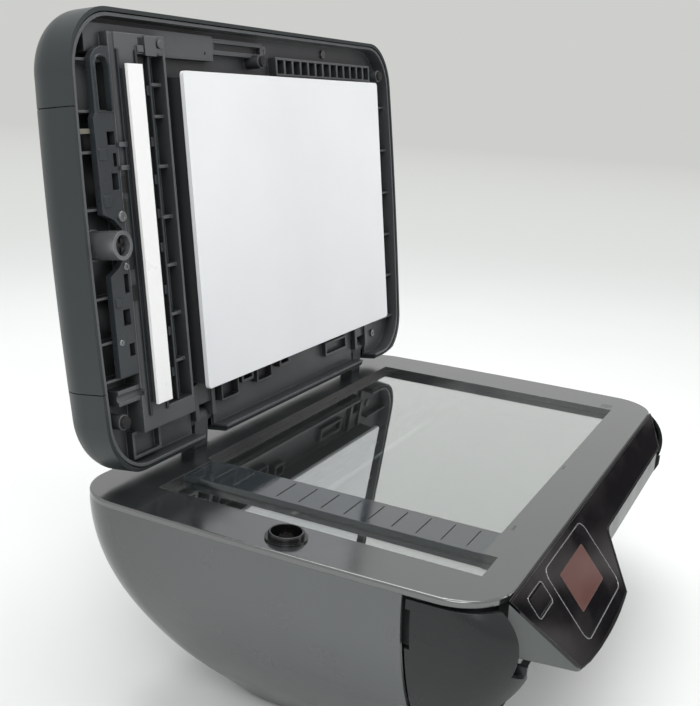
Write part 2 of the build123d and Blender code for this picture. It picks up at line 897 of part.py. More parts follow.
# Electronics: a board beside the frame, with the data socket, and a power unit on the rear shelf
with BuildPart() as main_board:
    board_face = frame_half + 7.6
    block((frame_half + 6, -56, 46), (board_face, 56, 110))
    block((frame_half + 6, 56, 72), (board_face, 100, 110))
    for y in (-50, 50):
        for z in (52, 104):
            bar_x(y, z, 3, frame_half, frame_half + 6)
    for y, z, size_y, size_z, rise in (
        (-10, 80, 24, 24, 2.4),
        (25, 88, 14, 14, 1.6),
        (25, 66, 18, 10, 1.6),
        (-40, 70, 8, 30, 6),
        (-38, 98, 20, 8, 5),
    ):
        block(
            (board_face, y - size_y / 2, z - size_z / 2),
            (board_face + rise, y + size_y / 2, z + size_z / 2),
        )
    block(
        (usb_x - usb_width / 2, 92, usb_z - usb_height / 2),
        (usb_x + usb_width / 2, usb_back, usb_z + usb_height / 2),
    )
    block(
        (usb_x - usb_width / 2 + 2, usb_back - 12, usb_z - usb_height / 2 + 2),
        (usb_x + usb_width / 2 - 2, usb_back + 1, usb_z + usb_height / 2 - 2),
        mode=Mode.SUBTRACT,
    )
    block((usb_x - 2, usb_back - 12.5, usb_z - 2), (usb_x + 2, usb_back - 3, usb_z + 2))
save(main_board, "main_board")

# The power unit carries the mains inlet, which takes a two-pin lead through the back wall
with BuildPart() as power_supply:
    block(
        (inlet_x - 45, side_plate_back, shelf_height + sheet_metal),
        (inlet_x + 40, shelf_back - 2, shelf_height + 38),
    )
    fillet(power_supply.edges().filter_by(Axis.Z), 2)
    block(
        (inlet_x - inlet_width / 2, shelf_back - 2, inlet_z - inlet_height / 2),
        (inlet_x + inlet_width / 2, inlet_back, inlet_z + inlet_height / 2),
    )
    with BuildSketch(Plane.XZ.offset(-inlet_back)):
        with Locations((inlet_x, inlet_z)):
            SlotCenterToCenter(8, 9)
    extrude(amount=14, mode=Mode.SUBTRACT)
    for x in (inlet_x - 4, inlet_x + 4):
        bar_y(x, inlet_z, 1.2, inlet_back - 15, inlet_back - 3)
save(power_supply, "power_supply")

# Paper handling

# The tray's front is a band of the body's own surface
with BuildPart() as paper_tray:
    block((-tray_half, -far, foot_height + tray_floor - 5), (tray_half, -80, tray_front_top))
    add(body_inside, mode=Mode.SUBTRACT)
    block((-tray_half, -100, tray_floor), (tray_half, tray_back, tray_floor + tray_skin))
    for side in (-1, 1):
        low, high = sorted((side * (tray_half - 2), side * tray_half))
        block((low, -100, tray_floor), (high, tray_back, tray_wall_top))
    block((-tray_half, tray_back - 2, tray_floor), (tray_half, tray_back, tray_rear_wall_top))
    add(body_outside, mode=Mode.INTERSECT)
    bar_z(0, 0, guide_pin_radius, tray_floor, tray_floor + tray_skin + rack_thickness + 0.6)
    # A finger scoop in the top edge of the front
    bar_y(0, tray_front_top + 14, 24, -130, -80, mode=Mode.SUBTRACT)
save(paper_tray, "paper_tray")

# Paper guides slide across the tray; their racks meet one pinion, so both close together
guide_base = tray_floor + tray_skin + 0.1
for side, name in ((-1, "left_paper_guide"), (1, "right_paper_guide")):
    with BuildPart() as paper_guide:
        paper_guide_shape(side, paper_half, (guide_front, guide_back), 16, Pos(0, 0, guide_base))
    save(paper_guide, name)

with BuildPart() as guide_pinion:
    with BuildSketch(Plane.XY.offset(guide_base)):
        add(gear_sketch(guide_pinion_teeth, guide_module, guide_pin_radius + running))
    extrude(amount=rack_thickness)
save(guide_pinion, "guide_pinion")

with BuildPart() as output_extender:
    block((-output_half, -far, output_bottom), (output_half, output_back, output_bottom + output_thickness))
    bar_z(0, -126, 22, output_bottom + 1.4, output_bottom + 3, mode=Mode.SUBTRACT)
    add(body_outside, mode=Mode.INTERSECT)
save(output_extender, "output_extender")

# Scanner

# The bezel frames both glasses and is glued to their top faces by a thin skirt
with BuildPart() as scanner_bezel:
    with BuildSketch(Plane.XY.offset(bezel_bottom)):
        add(body_outline(taper_start, 0))
    extrude(amount=bezel_edge)
    fillet(scanner_bezel.edges().group_by(Axis.Z)[-1], 1.5)
    with BuildSketch(Plane.XY.offset(glass_top)):
        add(glass_windows(bezel_skirt))
    extrude(amount=bezel_bottom - glass_top)
    with BuildSketch(Plane.XY.offset(glass_top)):
        add(glass_windows(0))
    extrude(amount=bezel_edge + 2, mode=Mode.SUBTRACT)
    bar_z(cup_x, cup_y, cup_radius + running, glass_top - 1, bed_top + 1, mode=Mode.SUBTRACT)
    for x in hinge_places:
        block(
            (x - hinge_half - 1, pivot_y - hinge_round - 1, glass_top - 1),
            (x + hinge_half + 1, pivot_y + hinge_round + 1, bed_top + 1),
            mode=Mode.SUBTRACT,
        )
save(scanner_bezel, "scanner_bezel")

# The divider covers the joint between the glasses and guides the page off the strip glass
with BuildPart() as glass_divider:
    block((strip_glass_right, divider_front, glass_top), (main_glass_left, divider_back, divider_top))
    with Locations(((strip_glass_right + main_glass_left) / 2, 0, divider_top)):
        with GridLocations(1, divider_step, 1, 13):
            Box(main_glass_left - strip_glass_right - 8, divider_groove, 1, mode=Mode.SUBTRACT)
save(glass_divider, "glass_divider")

with BuildPart() as platen_glass:
    block(
        (glass_joint_x + 0.5, main_glass_front - glass_margin, glass_top - glass_thickness),
        (main_glass_right + glass_margin, main_glass_back + glass_margin, glass_top),
    )
save(platen_glass, "platen_glass")

with BuildPart() as adf_glass:
    block(
        (strip_glass_left - glass_margin, strip_glass_front - glass_margin, glass_top - glass_thickness),
        (glass_joint_x - 0.5, strip_glass_back + glass_margin, glass_top),
    )
save(adf_glass, "adf_glass")

# The tub under the bezel holds the rod, the hinge posts and the feeder drive
tub_floor = tub_bottom + tub_wall
with BuildPart() as scanner_tub:
    for inset, level, mode in ((0, tub_bottom, Mode.ADD), (tub_wall, tub_floor, Mode.SUBTRACT)):
        with BuildSketch(Plane.XY.offset(level)):
            with Locations((0, (tub_front + tub_back) / 2)):
                RectangleRounded(
                    2 * (tub_half_width - inset),
                    tub_back - tub_front - 2 * inset,
                    tub_corner - inset,
                )
        extrude(amount=bezel_bottom - level, mode=mode)
    for side in (-1, 1):
        low, high = sorted((side * (scan_rod_half - 5), side * (tub_half_width - tub_wall)))
        block((low, scan_rod_y - 5, tub_floor), (high, scan_rod_y + 5, scan_rod_z + 5))
        for y in (-50, 50):
            middle = side * (frame_half - sheet_metal / 2)
            block((middle - 3, y - 5, side_plate_top), (middle + 3, y + 5, tub_bottom))
    bar_x(scan_rod_y, scan_rod_z, scan_rod_radius, -scan_rod_half, scan_rod_half, mode=Mode.SUBTRACT)
    for x in hinge_places:
        block((x - 10.5, pivot_y - 8.5, tub_floor), (x + 10.5, tub_back - tub_wall, tub_floor + 18))
        block(
            (x - hinge_half - 0.1, pivot_y - hinge_round - 0.1, tub_floor),
            (x + hinge_half + 0.1, pivot_y + hinge_round + 0.1, tub_floor + 19),
            mode=Mode.SUBTRACT,
        )
    bar_z(cup_x, cup_y, coupler_boss_radius, tub_floor, drive_gear_bottom - gap)
    bar_z(cup_x, cup_y, coupler_pin_radius + running, 132, drive_gear_bottom, mode=Mode.SUBTRACT)
    bar_z(cup_x, cup_y, cup_radius + 0.5, 147, bezel_bottom, mode=Mode.SUBTRACT)
    bar_z(
        -scan_pulley_x, scan_belt_y, motor_shaft_radius + 0.5, tub_bottom, tub_floor, mode=Mode.SUBTRACT
    )
    # A smooth post turns the scan belt round at the right-hand end
    bar_z(scan_pulley_x, scan_belt_y, scan_pulley_radius, tub_floor, scan_belt_z + belt_height / 2)
save(scanner_tub, "scanner_tub")

# The scan carriage waits under the strip glass, where it reads pages from the feeder
with BuildPart() as scan_carriage:
    left = scan_home_x - scan_bar_width / 2
    right = scan_home_x + scan_bar_width / 2
    bar_bottom = glass_top - glass_thickness - gap - scan_bar_height
    block((left, -118, bar_bottom), (right, 106, bar_bottom + scan_bar_height))
    block((left + 5, -112, bar_bottom + 10), (right - 5, 100, glass_top), mode=Mode.SUBTRACT)
    block((scan_home_x - 2, -112, bar_bottom + 9), (scan_home_x + 2, 100, bar_bottom + 12.5))
    block((left, scan_rod_y - 9, tub_floor + 0.5), (right, scan_rod_y + 9, bar_bottom))
    bar_x(scan_rod_y, scan_rod_z, scan_rod_radius + running, left - 1, right + 1, mode=Mode.SUBTRACT)
    block(
        (scan_home_x - 8, scan_rod_y + 9, scan_belt_z - 2),
        (scan_home_x + 8, scan_belt_y - scan_pulley_radius - belt_thickness - gap, scan_belt_z + 2),
    )
save(scan_carriage, "scan_carriage")

with BuildPart() as scan_belt:
    add(
        belt_loop(
            Plane.XY.offset(scan_belt_z),
            (-scan_pulley_x, scan_belt_y),
            scan_pulley_radius,
            (scan_pulley_x, scan_belt_y),
            scan_pulley_radius,
            belt_height - 1,
        )
    )
save(scan_belt, "scan_belt")

with BuildPart() as scan_pulley:
    low = scan_belt_z - belt_height / 2
    bar_z(-scan_pulley_x, scan_belt_y, scan_pulley_radius, low, low + belt_height)
    bar_z(-scan_pulley_x, scan_belt_y, motor_shaft_radius, tub_bottom - 8, low)
save(scan_pulley, "scan_pulley")

# One motor pulls the scan belt, the other turns the feeder's drive
with BuildPart() as scanner_motors:
    bar_z(-scan_pulley_x, scan_belt_y, motor_radius, tub_bottom - 12, tub_bottom)
    bar_z(
        -scan_pulley_x,
        scan_belt_y,
        motor_shaft_radius + running,
        tub_bottom - 9,
        tub_bottom,
        mode=Mode.SUBTRACT,
    )
    bar_z(drive_motor_x, cup_y, drive_motor_radius, tub_floor, drive_gear_bottom - 2)
    bar_z(
        drive_motor_x,
        cup_y,
        motor_shaft_radius + running,
        tub_floor + 3,
        drive_gear_bottom,
        mode=Mode.SUBTRACT,
    )
save(scanner_motors, "scanner_motors")

# The drive cup stands out of the bed round the feeder's lower coupler
with BuildPart() as drive_cup:
    bar_z(cup_x, cup_y, cup_radius, cup_floor - 1.5, bed_top + cup_height)
    bar_z(cup_x, cup_y, cup_radius + 2, bed_top, bed_top + 1.2)
    chamfer(drive_cup.edges().group_by(Axis.Z)[-1], 0.6)
    bar_z(cup_x, cup_y, cup_bore, cup_floor, bed_top + cup_height + 1, mode=Mode.SUBTRACT)
    bar_z(
        cup_x, cup_y, coupler_shaft_radius + running, cup_floor - 2, cup_floor + 1, mode=Mode.SUBTRACT
    )
save(drive_cup, "drive_cup")

with BuildPart() as base_coupler:
    bar_z(cup_x, cup_y, coupler_pin_radius, 134, drive_gear_bottom)
    bar_z(cup_x, cup_y, coupler_shaft_radius, drive_gear_bottom, coupler_top)
    bar_z(cup_x, cup_y, coupler_radius, cup_floor + 0.2, coupler_top)
    with BuildSketch(Plane.XY.offset(drive_gear_bottom)):
        with Locations((cup_x, cup_y)):
            add(gear_sketch(coupler_teeth, drive_module, 0))
    extrude(amount=drive_gear_height)
    for turn in (0, 90):
        with Locations(Pos(cup_x, cup_y, coupler_top) * Rot(0, 0, turn)):
            Box(2 * coupler_radius, 2.4, 2.4, mode=Mode.SUBTRACT)
save(base_coupler, "base_coupler")

with BuildPart() as drive_gear:
    with BuildSketch(Plane.XY.offset(drive_gear_bottom)):
        with Locations((drive_motor_x, cup_y)):
            add(gear_sketch(drive_teeth, drive_module, 0), rotation=180 / drive_teeth)
    extrude(amount=drive_gear_height)
    bar_z(drive_motor_x, cup_y, motor_shaft_radius, tub_floor + 4, drive_gear_bottom)
save(drive_gear, "drive_gear")

# Control panel

on_panel = panel_plane.location

# The fascia is one thin gloss sheet with windows for the display and the power button
with BuildPart() as panel_fascia:
    with BuildSketch(panel_plane):
        add(panel_outline(0))
    extrude(amount=-fascia_thickness)
    block((-far, crease_y, 0), (far, far, far), mode=Mode.SUBTRACT)
    for low, high in ((display_low, display_high), (button_low, button_high)):
        block(
            (low[0] - seat, low[1] - seat, -fascia_thickness - 1),
            (high[0] + seat, high[1] + seat, 1),
            mode=Mode.SUBTRACT,
            place=on_panel,
        )
save(panel_fascia, "panel_fascia")

# The housing is a shallow box under the fascia, bolted to the tub by a spine along its back
with BuildPart() as panel_hollow:
    with BuildSketch(panel_plane.offset(-fascia_thickness)):
        add(panel_outline(housing_wall))
    extrude(amount=80, dir=(0, 0, -1))
    block((-far, crease_y - housing_wall, 0), (far, far, far), mode=Mode.SUBTRACT)
    with BuildSketch(Plane.YZ.offset(-far)):
        add(under_panel(housing_wall))
    extrude(amount=2 * far, mode=Mode.SUBTRACT)

with BuildPart() as panel_housing:
    with BuildSketch(panel_plane.offset(-fascia_thickness)):
        add(panel_outline(0))
    extrude(amount=80, dir=(0, 0, -1))
    block((-far, crease_y, 0), (far, far, far), mode=Mode.SUBTRACT)
    with BuildSketch(Plane.YZ.offset(-far)):
        add(under_panel(0))
    extrude(amount=2 * far, mode=Mode.SUBTRACT)
    add(panel_hollow.part, mode=Mode.SUBTRACT)
    block((-spine_half, crease_y - 1, 142), (spine_half, tub_front, bezel_bottom))
save(panel_housing, "panel_housing")

# The display stands on its circuit board behind the fascia
with BuildPart() as display:
    block((*display_low, -board_drop), (*display_high, 0), place=on_panel)
    block(
        (-178, -42, -board_drop - board_thickness),
        (-70, -11, -board_drop),
        place=on_panel,
    )
    for x, s in ((-150, -36), (-76, -36), (-150, -14), (-76, -14)):
        bar_z(x, s, 2, -board_drop, -fascia_thickness, place=on_panel)
save(display, "display")

with BuildPart() as power_button:
    block(
        (button_low[0] + 0.1, button_low[1] + 0.1, -fascia_thickness - flange_drop),
        (button_high[0] - 0.1, button_high[1] - 0.1, button_rise),
        place=on_panel,
    )
    block(
        (button_low[0] - 1.2, button_low[1] - 1.2, -fascia_thickness - flange_drop),
        (button_high[0] + 1.2, button_high[1] + 1.2, -fascia_thickness - 0.3),
        place=on_panel,
    )
save(power_button, "power_button")

# Lid

on_lid = lid_plane.location
lid_outside = lid_solid(0, lid_top_level, rim_level)
lid_inside = lid_solid(wall, lid_top_level + wall, rim_level + 1)
barrel_low = cover_bottom + 14
barrel_high = cover_top - 14
tray_hinge_level = tray_level + tray_thickness / 2

# The rear edge below the hinge is trimmed to a round so that it clears the bed as the lid turns
with BuildPart() as swing_room:
    block((-far, -30, 0), (far, 0, 40), place=on_lid)
    bar_x(0, 0, swing_radius, -far, far, mode=Mode.SUBTRACT, place=on_lid)

with BuildPart() as lid_shell:
    add(lid_outside)
    add(lid_inside, mode=Mode.SUBTRACT)
    # The recess behind the lid receives scanned pages, under the input tray
    block(
        (recess_left - wall, recess_bottom - wall, lid_top_level + wall / 2),
        (recess_right + wall, recess_top + wall, recess_floor + wall),
        place=on_lid,
    )
    block(
        (recess_left, recess_bottom, -far),
        (recess_right, recess_top, recess_floor),
        mode=Mode.SUBTRACT,
        place=on_lid,
    )
    # Pages enter through the upper slot and come back through the lower one
    for low in (lid_top_level + wall, recess_floor - feed_slot_height):
        block(
            (recess_left - wall - 1, recess_bottom + 6, low),
            (recess_left + 1, recess_top - 6, low + feed_slot_height - 0.8),
            mode=Mode.SUBTRACT,
            place=on_lid,
        )
    # The cover's place, with a knuckle and a pin at each end of its hinge
    block(
        (-far, cover_bottom, -far), (cover_right, cover_top, far), mode=Mode.SUBTRACT, place=on_lid
    )
    for low, high, pin in (
        (cover_bottom, barrel_low - gap, barrel_low + 5),
        (barrel_high + gap, cover_top, barrel_high - 5),
    ):
        block(
            (barrel_x, low, lid_top_level + 0.6),
            (cover_right + 1, high, barrel_level),
            place=on_lid,
        )
        bar_y(barrel_x, barrel_level, barrel_radius, low, high, place=on_lid)
        start, end = sorted((low if pin > low else high, pin))
        bar_y(barrel_x, barrel_level, barrel_pin_radius, start, end, place=on_lid)
    # Bosses that the frame's screws bite into
    for x, up in screw_places:
        bar_z(x, up, 3.5, lid_top_level + wall / 2, frame_floor, place=on_lid)
        bar_z(x, up, screw_radius, frame_floor - 9, frame_floor + 1, mode=Mode.SUBTRACT, place=on_lid)
    bar_y(
        tray_hinge_x,
        tray_hinge_level,
        tray_pin_radius + running,
        recess_bottom - wall,
        recess_top + wall,
        mode=Mode.SUBTRACT,
        place=on_lid,
    )
    for x in hinge_places:
        block(
            (x - hinge_notch, -25, -12), (x + hinge_notch, 10, 25), mode=Mode.SUBTRACT, place=on_lid
        )
    add(swing_room.part, mode=Mode.SUBTRACT)
    add(lid_outside, mode=Mode.INTERSECT)
save(lid_shell, "lid_shell")

# The feeder cover is the lid's left side; it swings up for clearing a jam
with BuildPart() as adf_cover:
    add(lid_outside)
    add(lid_inside, mode=Mode.SUBTRACT)
    block((barrel_x, -far, -far), (far, far, far), mode=Mode.SUBTRACT, place=on_lid)
    block((-far, -far, -far), (far, cover_bottom + cover_gap, far), mode=Mode.SUBTRACT, place=on_lid)
    block((-far, cover_top - cover_gap, -far), (far, far, far), mode=Mode.SUBTRACT, place=on_lid)
    for low, high in ((cover_bottom, barrel_low), (barrel_high, cover_top)):
        block(
            (barrel_x - 5, low - 1, lid_top_level - 2),
            (barrel_x + 5, high, -8),
            mode=Mode.SUBTRACT,
            place=on_lid,
        )
    for up in (78, 132, 186):
        block((-200, up - 0.8, lid_top_level + 1), (-122, up + 0.8, -17.4), place=on_lid)
    bar_y(barrel_x, barrel_level, barrel_radius, barrel_low, barrel_high, place=on_lid)
    bar_y(
        barrel_x,
        barrel_level,
        barrel_pin_radius + running,
        barrel_low,
        barrel_high,
        mode=Mode.SUBTRACT,
        place=on_lid,
    )
save(adf_cover, "adf_cover")

# The input tray folds flat over the recess; its own guides close on the originals
with BuildPart() as adf_input_tray:
    block(
        (tray_hinge_x, recess_bottom + 2, tray_level),
        (feeder_tray_right, recess_top - 2, tray_level + tray_thickness),
        place=on_lid,
    )
    bar_y(
        tray_hinge_x, tray_hinge_level, tray_hinge_radius, recess_bottom + 2, recess_top - 2, place=on_lid
    )
    bar_y(
        tray_hinge_x,
        tray_hinge_level,
        tray_pin_radius,
        recess_bottom - wall + 1,
        recess_top + wall - 1,
        place=on_lid,
    )
    bar_z(
        adf_pinion_x,
        adf_tray_middle,
        guide_pin_radius,
        tray_level - rack_thickness - 0.7,
        tray_level,
        place=on_lid,
    )
    bar_z(
        feeder_tray_right,
        adf_tray_middle,
        18,
        tray_level - 1,
        tray_level + tray_thickness + 1,
        mode=Mode.SUBTRACT,
        place=on_lid,
    )
save(adf_input_tray, "adf_input_tray")

on_feeder_tray = Plane(
    origin=lid_plane.from_local_coords((adf_pinion_x, adf_tray_middle, tray_level - 0.1)),
    x_dir=lid_plane.y_dir,
    z_dir=-lid_plane.z_dir,
)
for side, name in ((-1, "lower_adf_guide"), (1, "upper_adf_guide")):
    with BuildPart() as adf_guide:
        paper_guide_shape(side, adf_guide_half, (-40, 40), 6, on_feeder_tray.location)
    save(adf_guide, name)

with BuildPart() as adf_guide_pinion:
    with BuildSketch(on_feeder_tray):
        add(gear_sketch(guide_pinion_teeth, guide_module, guide_pin_radius + running))
    extrude(amount=rack_thickness)
save(adf_guide_pinion, "adf_guide_pinion")

# The feeder's rollers pick a page and carry it round over the strip glass
for x, low, high, name in (
    (feed_roller_x, 62, 204, "adf_feed_roller"),
    (pick_roller_x, 112, 153, "adf_pick_roller"),
):
    with BuildPart() as roller:
        bar_y(x, roller_level, roller_shaft_radius, bracket_low - 2, bracket_high + 5, place=on_lid)
        bar_y(x, roller_level, roller_radius if x == pick_roller_x else 7, low, high, place=on_lid)
    save(roller, name)

# The moulded inner frame: a ribbed floor, the pad's platform, the feeder's page path and pockets
with BuildPart() as lid_frame:
    with BuildSketch(lid_plane.offset(frame_floor)):
        add(lid_outline(frame_inset))
    extrude(amount=frame_rim - frame_floor)
    with BuildSketch(lid_plane.offset(frame_floor + frame_skin)):
        add(lid_outline(frame_inset + frame_wall))
    extrude(amount=frame_rim, mode=Mode.SUBTRACT)
    floor_top = frame_floor + frame_skin
    # Platform under the document pad, open from behind
    block((pad_left + 3, pad_low + 3, floor_top), (pad_right - 3, pad_high - 3, pad_level), place=on_lid)
    block(
        (pad_left + 5, pad_low + 5, 0),
        (pad_right - 5, pad_high - 5, pad_level - 2),
        mode=Mode.SUBTRACT,
        place=on_lid,
    )
    # Feeder slab with a carrier for the white strip, a cable trough and the page channel
    block((slab_left, 12, floor_top), (slab_right, 262, slab_level), place=on_lid)
    block((-178, 14, 0), (channel_left - 2, 260, slab_level - 3), mode=Mode.SUBTRACT, place=on_lid)
    block(
        (strip_left + 1.5, strip_low + 0.5, floor_top),
        (strip_left + strip_width - 1.5, strip_high - 2, strip_level),
        place=on_lid,
    )
    block((channel_left, 24, 9), (channel_right, 250, 30), mode=Mode.SUBTRACT, place=on_lid)
    for up in (232, 212, 180, 147, 115, 82, 50):
        block((channel_left, up - 1, 9), (channel_right, up + 1, 15.5), place=on_lid)
    block((-206, 34, floor_top), (slab_left, 44, slab_level - 2), place=on_lid)
    bar_y(trough_x, slab_level, 2.6, 39, 270, mode=Mode.SUBTRACT, place=on_lid)
    bar_x(39, slab_level - 1, 2.6, -210, trough_x, mode=Mode.SUBTRACT, place=on_lid)
    for up in (195, 181):
        block((slab_left, up - 1.5, slab_level), (-178, up + 1.5, feature_rise), place=on_lid)
    # Ribs across the moat left of the slab
    for up in (245, 215, 191, 157, 103, 75, 51):
        block((-230, up - 0.8, floor_top), (slab_left, up + 0.8, 15), place=on_lid)
    # Upper edge: a plate with a hook, a slotted block and a row of pockets
    block((-200, 250, floor_top), (-65, 267, 13), place=on_lid)
    block((-160, 251, slab_level), (-154, 255, feature_rise), place=on_lid)
    block((-65, 255, floor_top), (4, 266, 12), place=on_lid)
    block((-62, 258, floor_top + 1), (1, 263, 13), mode=Mode.SUBTRACT, place=on_lid)
    block((20, 243, floor_top), (188, 257, 14), place=on_lid)
    with Locations(on_lid * Pos(104, 250, 12)):
        with GridLocations(12.8, 1, 13, 1):
            Box(10.4, 10.5, 9, mode=Mode.SUBTRACT)
    # Lower edge: two cells, a slot and a shallow pan
    for x in (-51, 5):
        block((x - 8, 15, floor_top), (x + 8, 27, 13), place=on_lid)
        block((x - 6, 17, floor_top), (x + 6, 25, 14), mode=Mode.SUBTRACT, place=on_lid)
    block((79, 6, floor_top), (119, 18, 11), place=on_lid)
    block((81, 8, floor_top), (117, 16, 12), mode=Mode.SUBTRACT, place=on_lid)
    block((-190, -6, floor_top), (-161, 12, 12), place=on_lid)
    block((-188, -4, floor_top + 1), (-163, 10, 13), mode=Mode.SUBTRACT, place=on_lid)
    for x, up in bumper_places:
        bar_z(x, up, 5, floor_top, rim_level, place=on_lid)
    for up in (20, 60, 100, 140, 180, 220):
        block((pad_right - 3, up - 0.8, floor_top), (230, up + 0.8, 13), place=on_lid)
    # Ears behind the floor carry the feeder's rollers
    for low in (bracket_low, bracket_high):
        block((-160, low, -13), (-121, low + 3, frame_floor), place=on_lid)
    for x in (feed_roller_x, pick_roller_x):
        bar_y(
            x,
            roller_level,
            roller_shaft_radius + running,
            bracket_low - 1,
            bracket_high + 4,
            mode=Mode.SUBTRACT,
            place=on_lid,
        )
    for x, up in screw_places:
        bar_z(x, up, screw_radius + 0.2, 0, floor_top + 1, mode=Mode.SUBTRACT, place=on_lid)
    bar_z(
        cup_x, coupler_up, coupler_shaft_radius + running, 0, 9, mode=Mode.SUBTRACT, place=on_lid
    )
    for x in hinge_places:
        block(
            (x - hinge_notch, -25, -12), (x + hinge_notch, 10, 25), mode=Mode.SUBTRACT, place=on_lid
        )
    with BuildSketch(lid_plane.offset(-20)):
        add(lid_outline(frame_inset))
    extrude(amount=60, mode=Mode.INTERSECT)
    add(swing_room.part, mode=Mode.SUBTRACT)
save(lid_frame, "lid_frame")

with BuildPart() as document_pad:
    block((pad_left, pad_low, pad_level), (pad_right, pad_high, pad_rise), place=on_lid)
    fillet(document_pad.edges().filter_by(Axis((0, 0, 0), lid_plane.z_dir)), 3)
save(document_pad, "document_pad")

with BuildPart() as adf_backing_strip:
    block(
        (strip_left, strip_low, strip_level),
        (strip_left + strip_width, strip_high, strip_level + strip_thickness),
        place=on_lid,
    )
save(adf_backing_strip, "adf_backing_strip")

# The sleeve drops into the drive cup as the lid shuts, round the feeder's upper coupler
with BuildPart() as coupler_sleeve:
    bar_z(cup_x, coupler_up, 10, floor_top, floor_top + 1.5, place=on_lid)
    bar_z(cup_x, coupler_up, sleeve_radius, floor_top, sleeve_rise, place=on_lid)
    bar_z(cup_x, coupler_up, 6.5, floor_top + 2.5, sleeve_rise, mode=Mode.SUBTRACT, place=on_lid)
    bar_z(
        cup_x,
        coupler_up,
        coupler_shaft_radius + running,
        0,
        floor_top + 3,
        mode=Mode.SUBTRACT,
        place=on_lid,
    )
save(coupler_sleeve, "coupler_sleeve")

with BuildPart() as lid_coupler:
    bar_z(cup_x, coupler_up, 8, -3, frame_floor - 0.3, place=on_lid)
    bar_z(cup_x, coupler_up, coupler_shaft_radius, -3, dog_rise, place=on_lid)
    bar_z(cup_x, coupler_up, coupler_radius, dog_rise - 4, dog_rise, place=on_lid)
    for turn in (0, 90):
        with Locations(on_lid * Pos(cup_x, coupler_up, dog_rise) * Rot(0, 0, turn)):
            Box(2 * coupler_radius, 2.4, 2.4, mode=Mode.SUBTRACT)
save(lid_coupler, "lid_coupler")

with BuildPart() as lid_bumpers:
    for x, up in bumper_places:
        bar_z(x, up, 4, rim_level, feature_rise, place=on_lid)
save(lid_bumpers, "lid_bumpers")

with BuildPart() as lid_screws:
    for x, up in screw_places:
        bar_z(x, up, 3.3, floor_top, floor_top + 1.8, place=on_lid)
        bar_z(x, up, screw_radius, frame_floor - 8, floor_top, place=on_lid)
        for size in ((3.6, 0.8), (0.8, 3.6)):
            with Locations(on_lid * Pos(x, up, floor_top + 1.8)):
                Box(*size, 1.6, mode=Mode.SUBTRACT)
save(lid_screws, "lid_screws")

# Each hinge is a post that stands in the tub and a pair of cheeks under the lid's frame
with BuildPart() as hinge_posts:
    for x in hinge_places:
        block(
            (x - hinge_half, pivot_y - hinge_round, tub_floor),
            (x + hinge_half, pivot_y + hinge_round, pivot_z),
        )
        bar_x(pivot_y, pivot_z, hinge_round, x - hinge_half, x + hinge_half)
        bar_x(pivot_y, pivot_z, hinge_pin_radius, x - hinge_outer, x + hinge_outer)
save(hinge_posts, "hinge_posts")

with BuildPart() as lid_hinges:
    for x in hinge_places:
        for side in (-1, 1):
            low, high = sorted((x + side * (hinge_half + gap), x + side * hinge_outer))
            bar_x(0, 0, hinge_round, low, high, place=on_lid)
            block((low, 0, 0), (high, 9.6, floor_top + 2), place=on_lid)
            block((low, 0, floor_top), (high, hinge_reach, floor_top + 4), place=on_lid)
        block(
            (x - hinge_outer, 10.4, floor_top), (x + hinge_outer, hinge_reach, floor_top + 2), place=on_lid
        )
        bar_x(
            0,
            0,
            hinge_pin_radius + running,
            x - hinge_outer,
            x + hinge_outer,
            mode=Mode.SUBTRACT,
            place=on_lid,
        )
save(lid_hinges, "lid_hinges")
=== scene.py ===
"""Looks for the inkjet multifunction printer: materials, small details, stage, light and camera.

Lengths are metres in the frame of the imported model. Drawing helpers take millimetres on a
placing matrix, because the printer's own drawing is in millimetres.
"""

import math

import bmesh
import bpy
from mathutils import Matrix, Vector
from mathutils.geometry import tessellate_polygon


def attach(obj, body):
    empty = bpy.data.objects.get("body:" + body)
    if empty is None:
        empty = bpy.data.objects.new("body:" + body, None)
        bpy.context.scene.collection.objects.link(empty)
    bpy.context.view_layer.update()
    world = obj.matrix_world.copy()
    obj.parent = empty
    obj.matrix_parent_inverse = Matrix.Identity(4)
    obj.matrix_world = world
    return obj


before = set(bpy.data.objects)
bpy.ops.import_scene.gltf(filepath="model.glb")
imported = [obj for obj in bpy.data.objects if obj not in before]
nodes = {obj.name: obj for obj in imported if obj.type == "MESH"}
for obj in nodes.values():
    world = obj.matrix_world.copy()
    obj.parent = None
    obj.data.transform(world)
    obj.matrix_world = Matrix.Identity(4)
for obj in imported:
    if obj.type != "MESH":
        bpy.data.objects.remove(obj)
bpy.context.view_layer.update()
MM = 0.001

# Places shared with the printer's drawing, in millimetres
LID_LEAN = math.radians(7.3)
LID_PIVOT = (0, 131.2, 181.6)
PANEL_CREASE = (0, -142.0, 160.0)
PANEL_ANGLE = math.radians(50)
BED_TOP = 160.0
BOARD_BACK = 100.5

# The Mix node's colour sockets go by number, because its other sockets have the same names
MIX_FIRST, MIX_SECOND, MIX_RESULT = 6, 7, 2


def placing(origin, x_axis, y_axis):
    """A matrix that carries millimetres on a plane to metres in the model."""
    x_axis, y_axis = Vector(x_axis), Vector(y_axis)
    z_axis = x_axis.cross(y_axis)
    matrix = Matrix((x_axis, y_axis, z_axis)).transposed().to_4x4()
    matrix.translation = Vector(origin)
    return Matrix.Scale(MM, 4) @ matrix


ON_BED = placing((0, 0, 0), (1, 0, 0), (0, 1, 0))
ON_LID = placing(LID_PIVOT, (1, 0, 0), (0, math.sin(LID_LEAN), math.cos(LID_LEAN)))
ON_PANEL = placing(PANEL_CREASE, (1, 0, 0), (0, math.cos(PANEL_ANGLE), math.sin(PANEL_ANGLE)))


# Colours and shader building


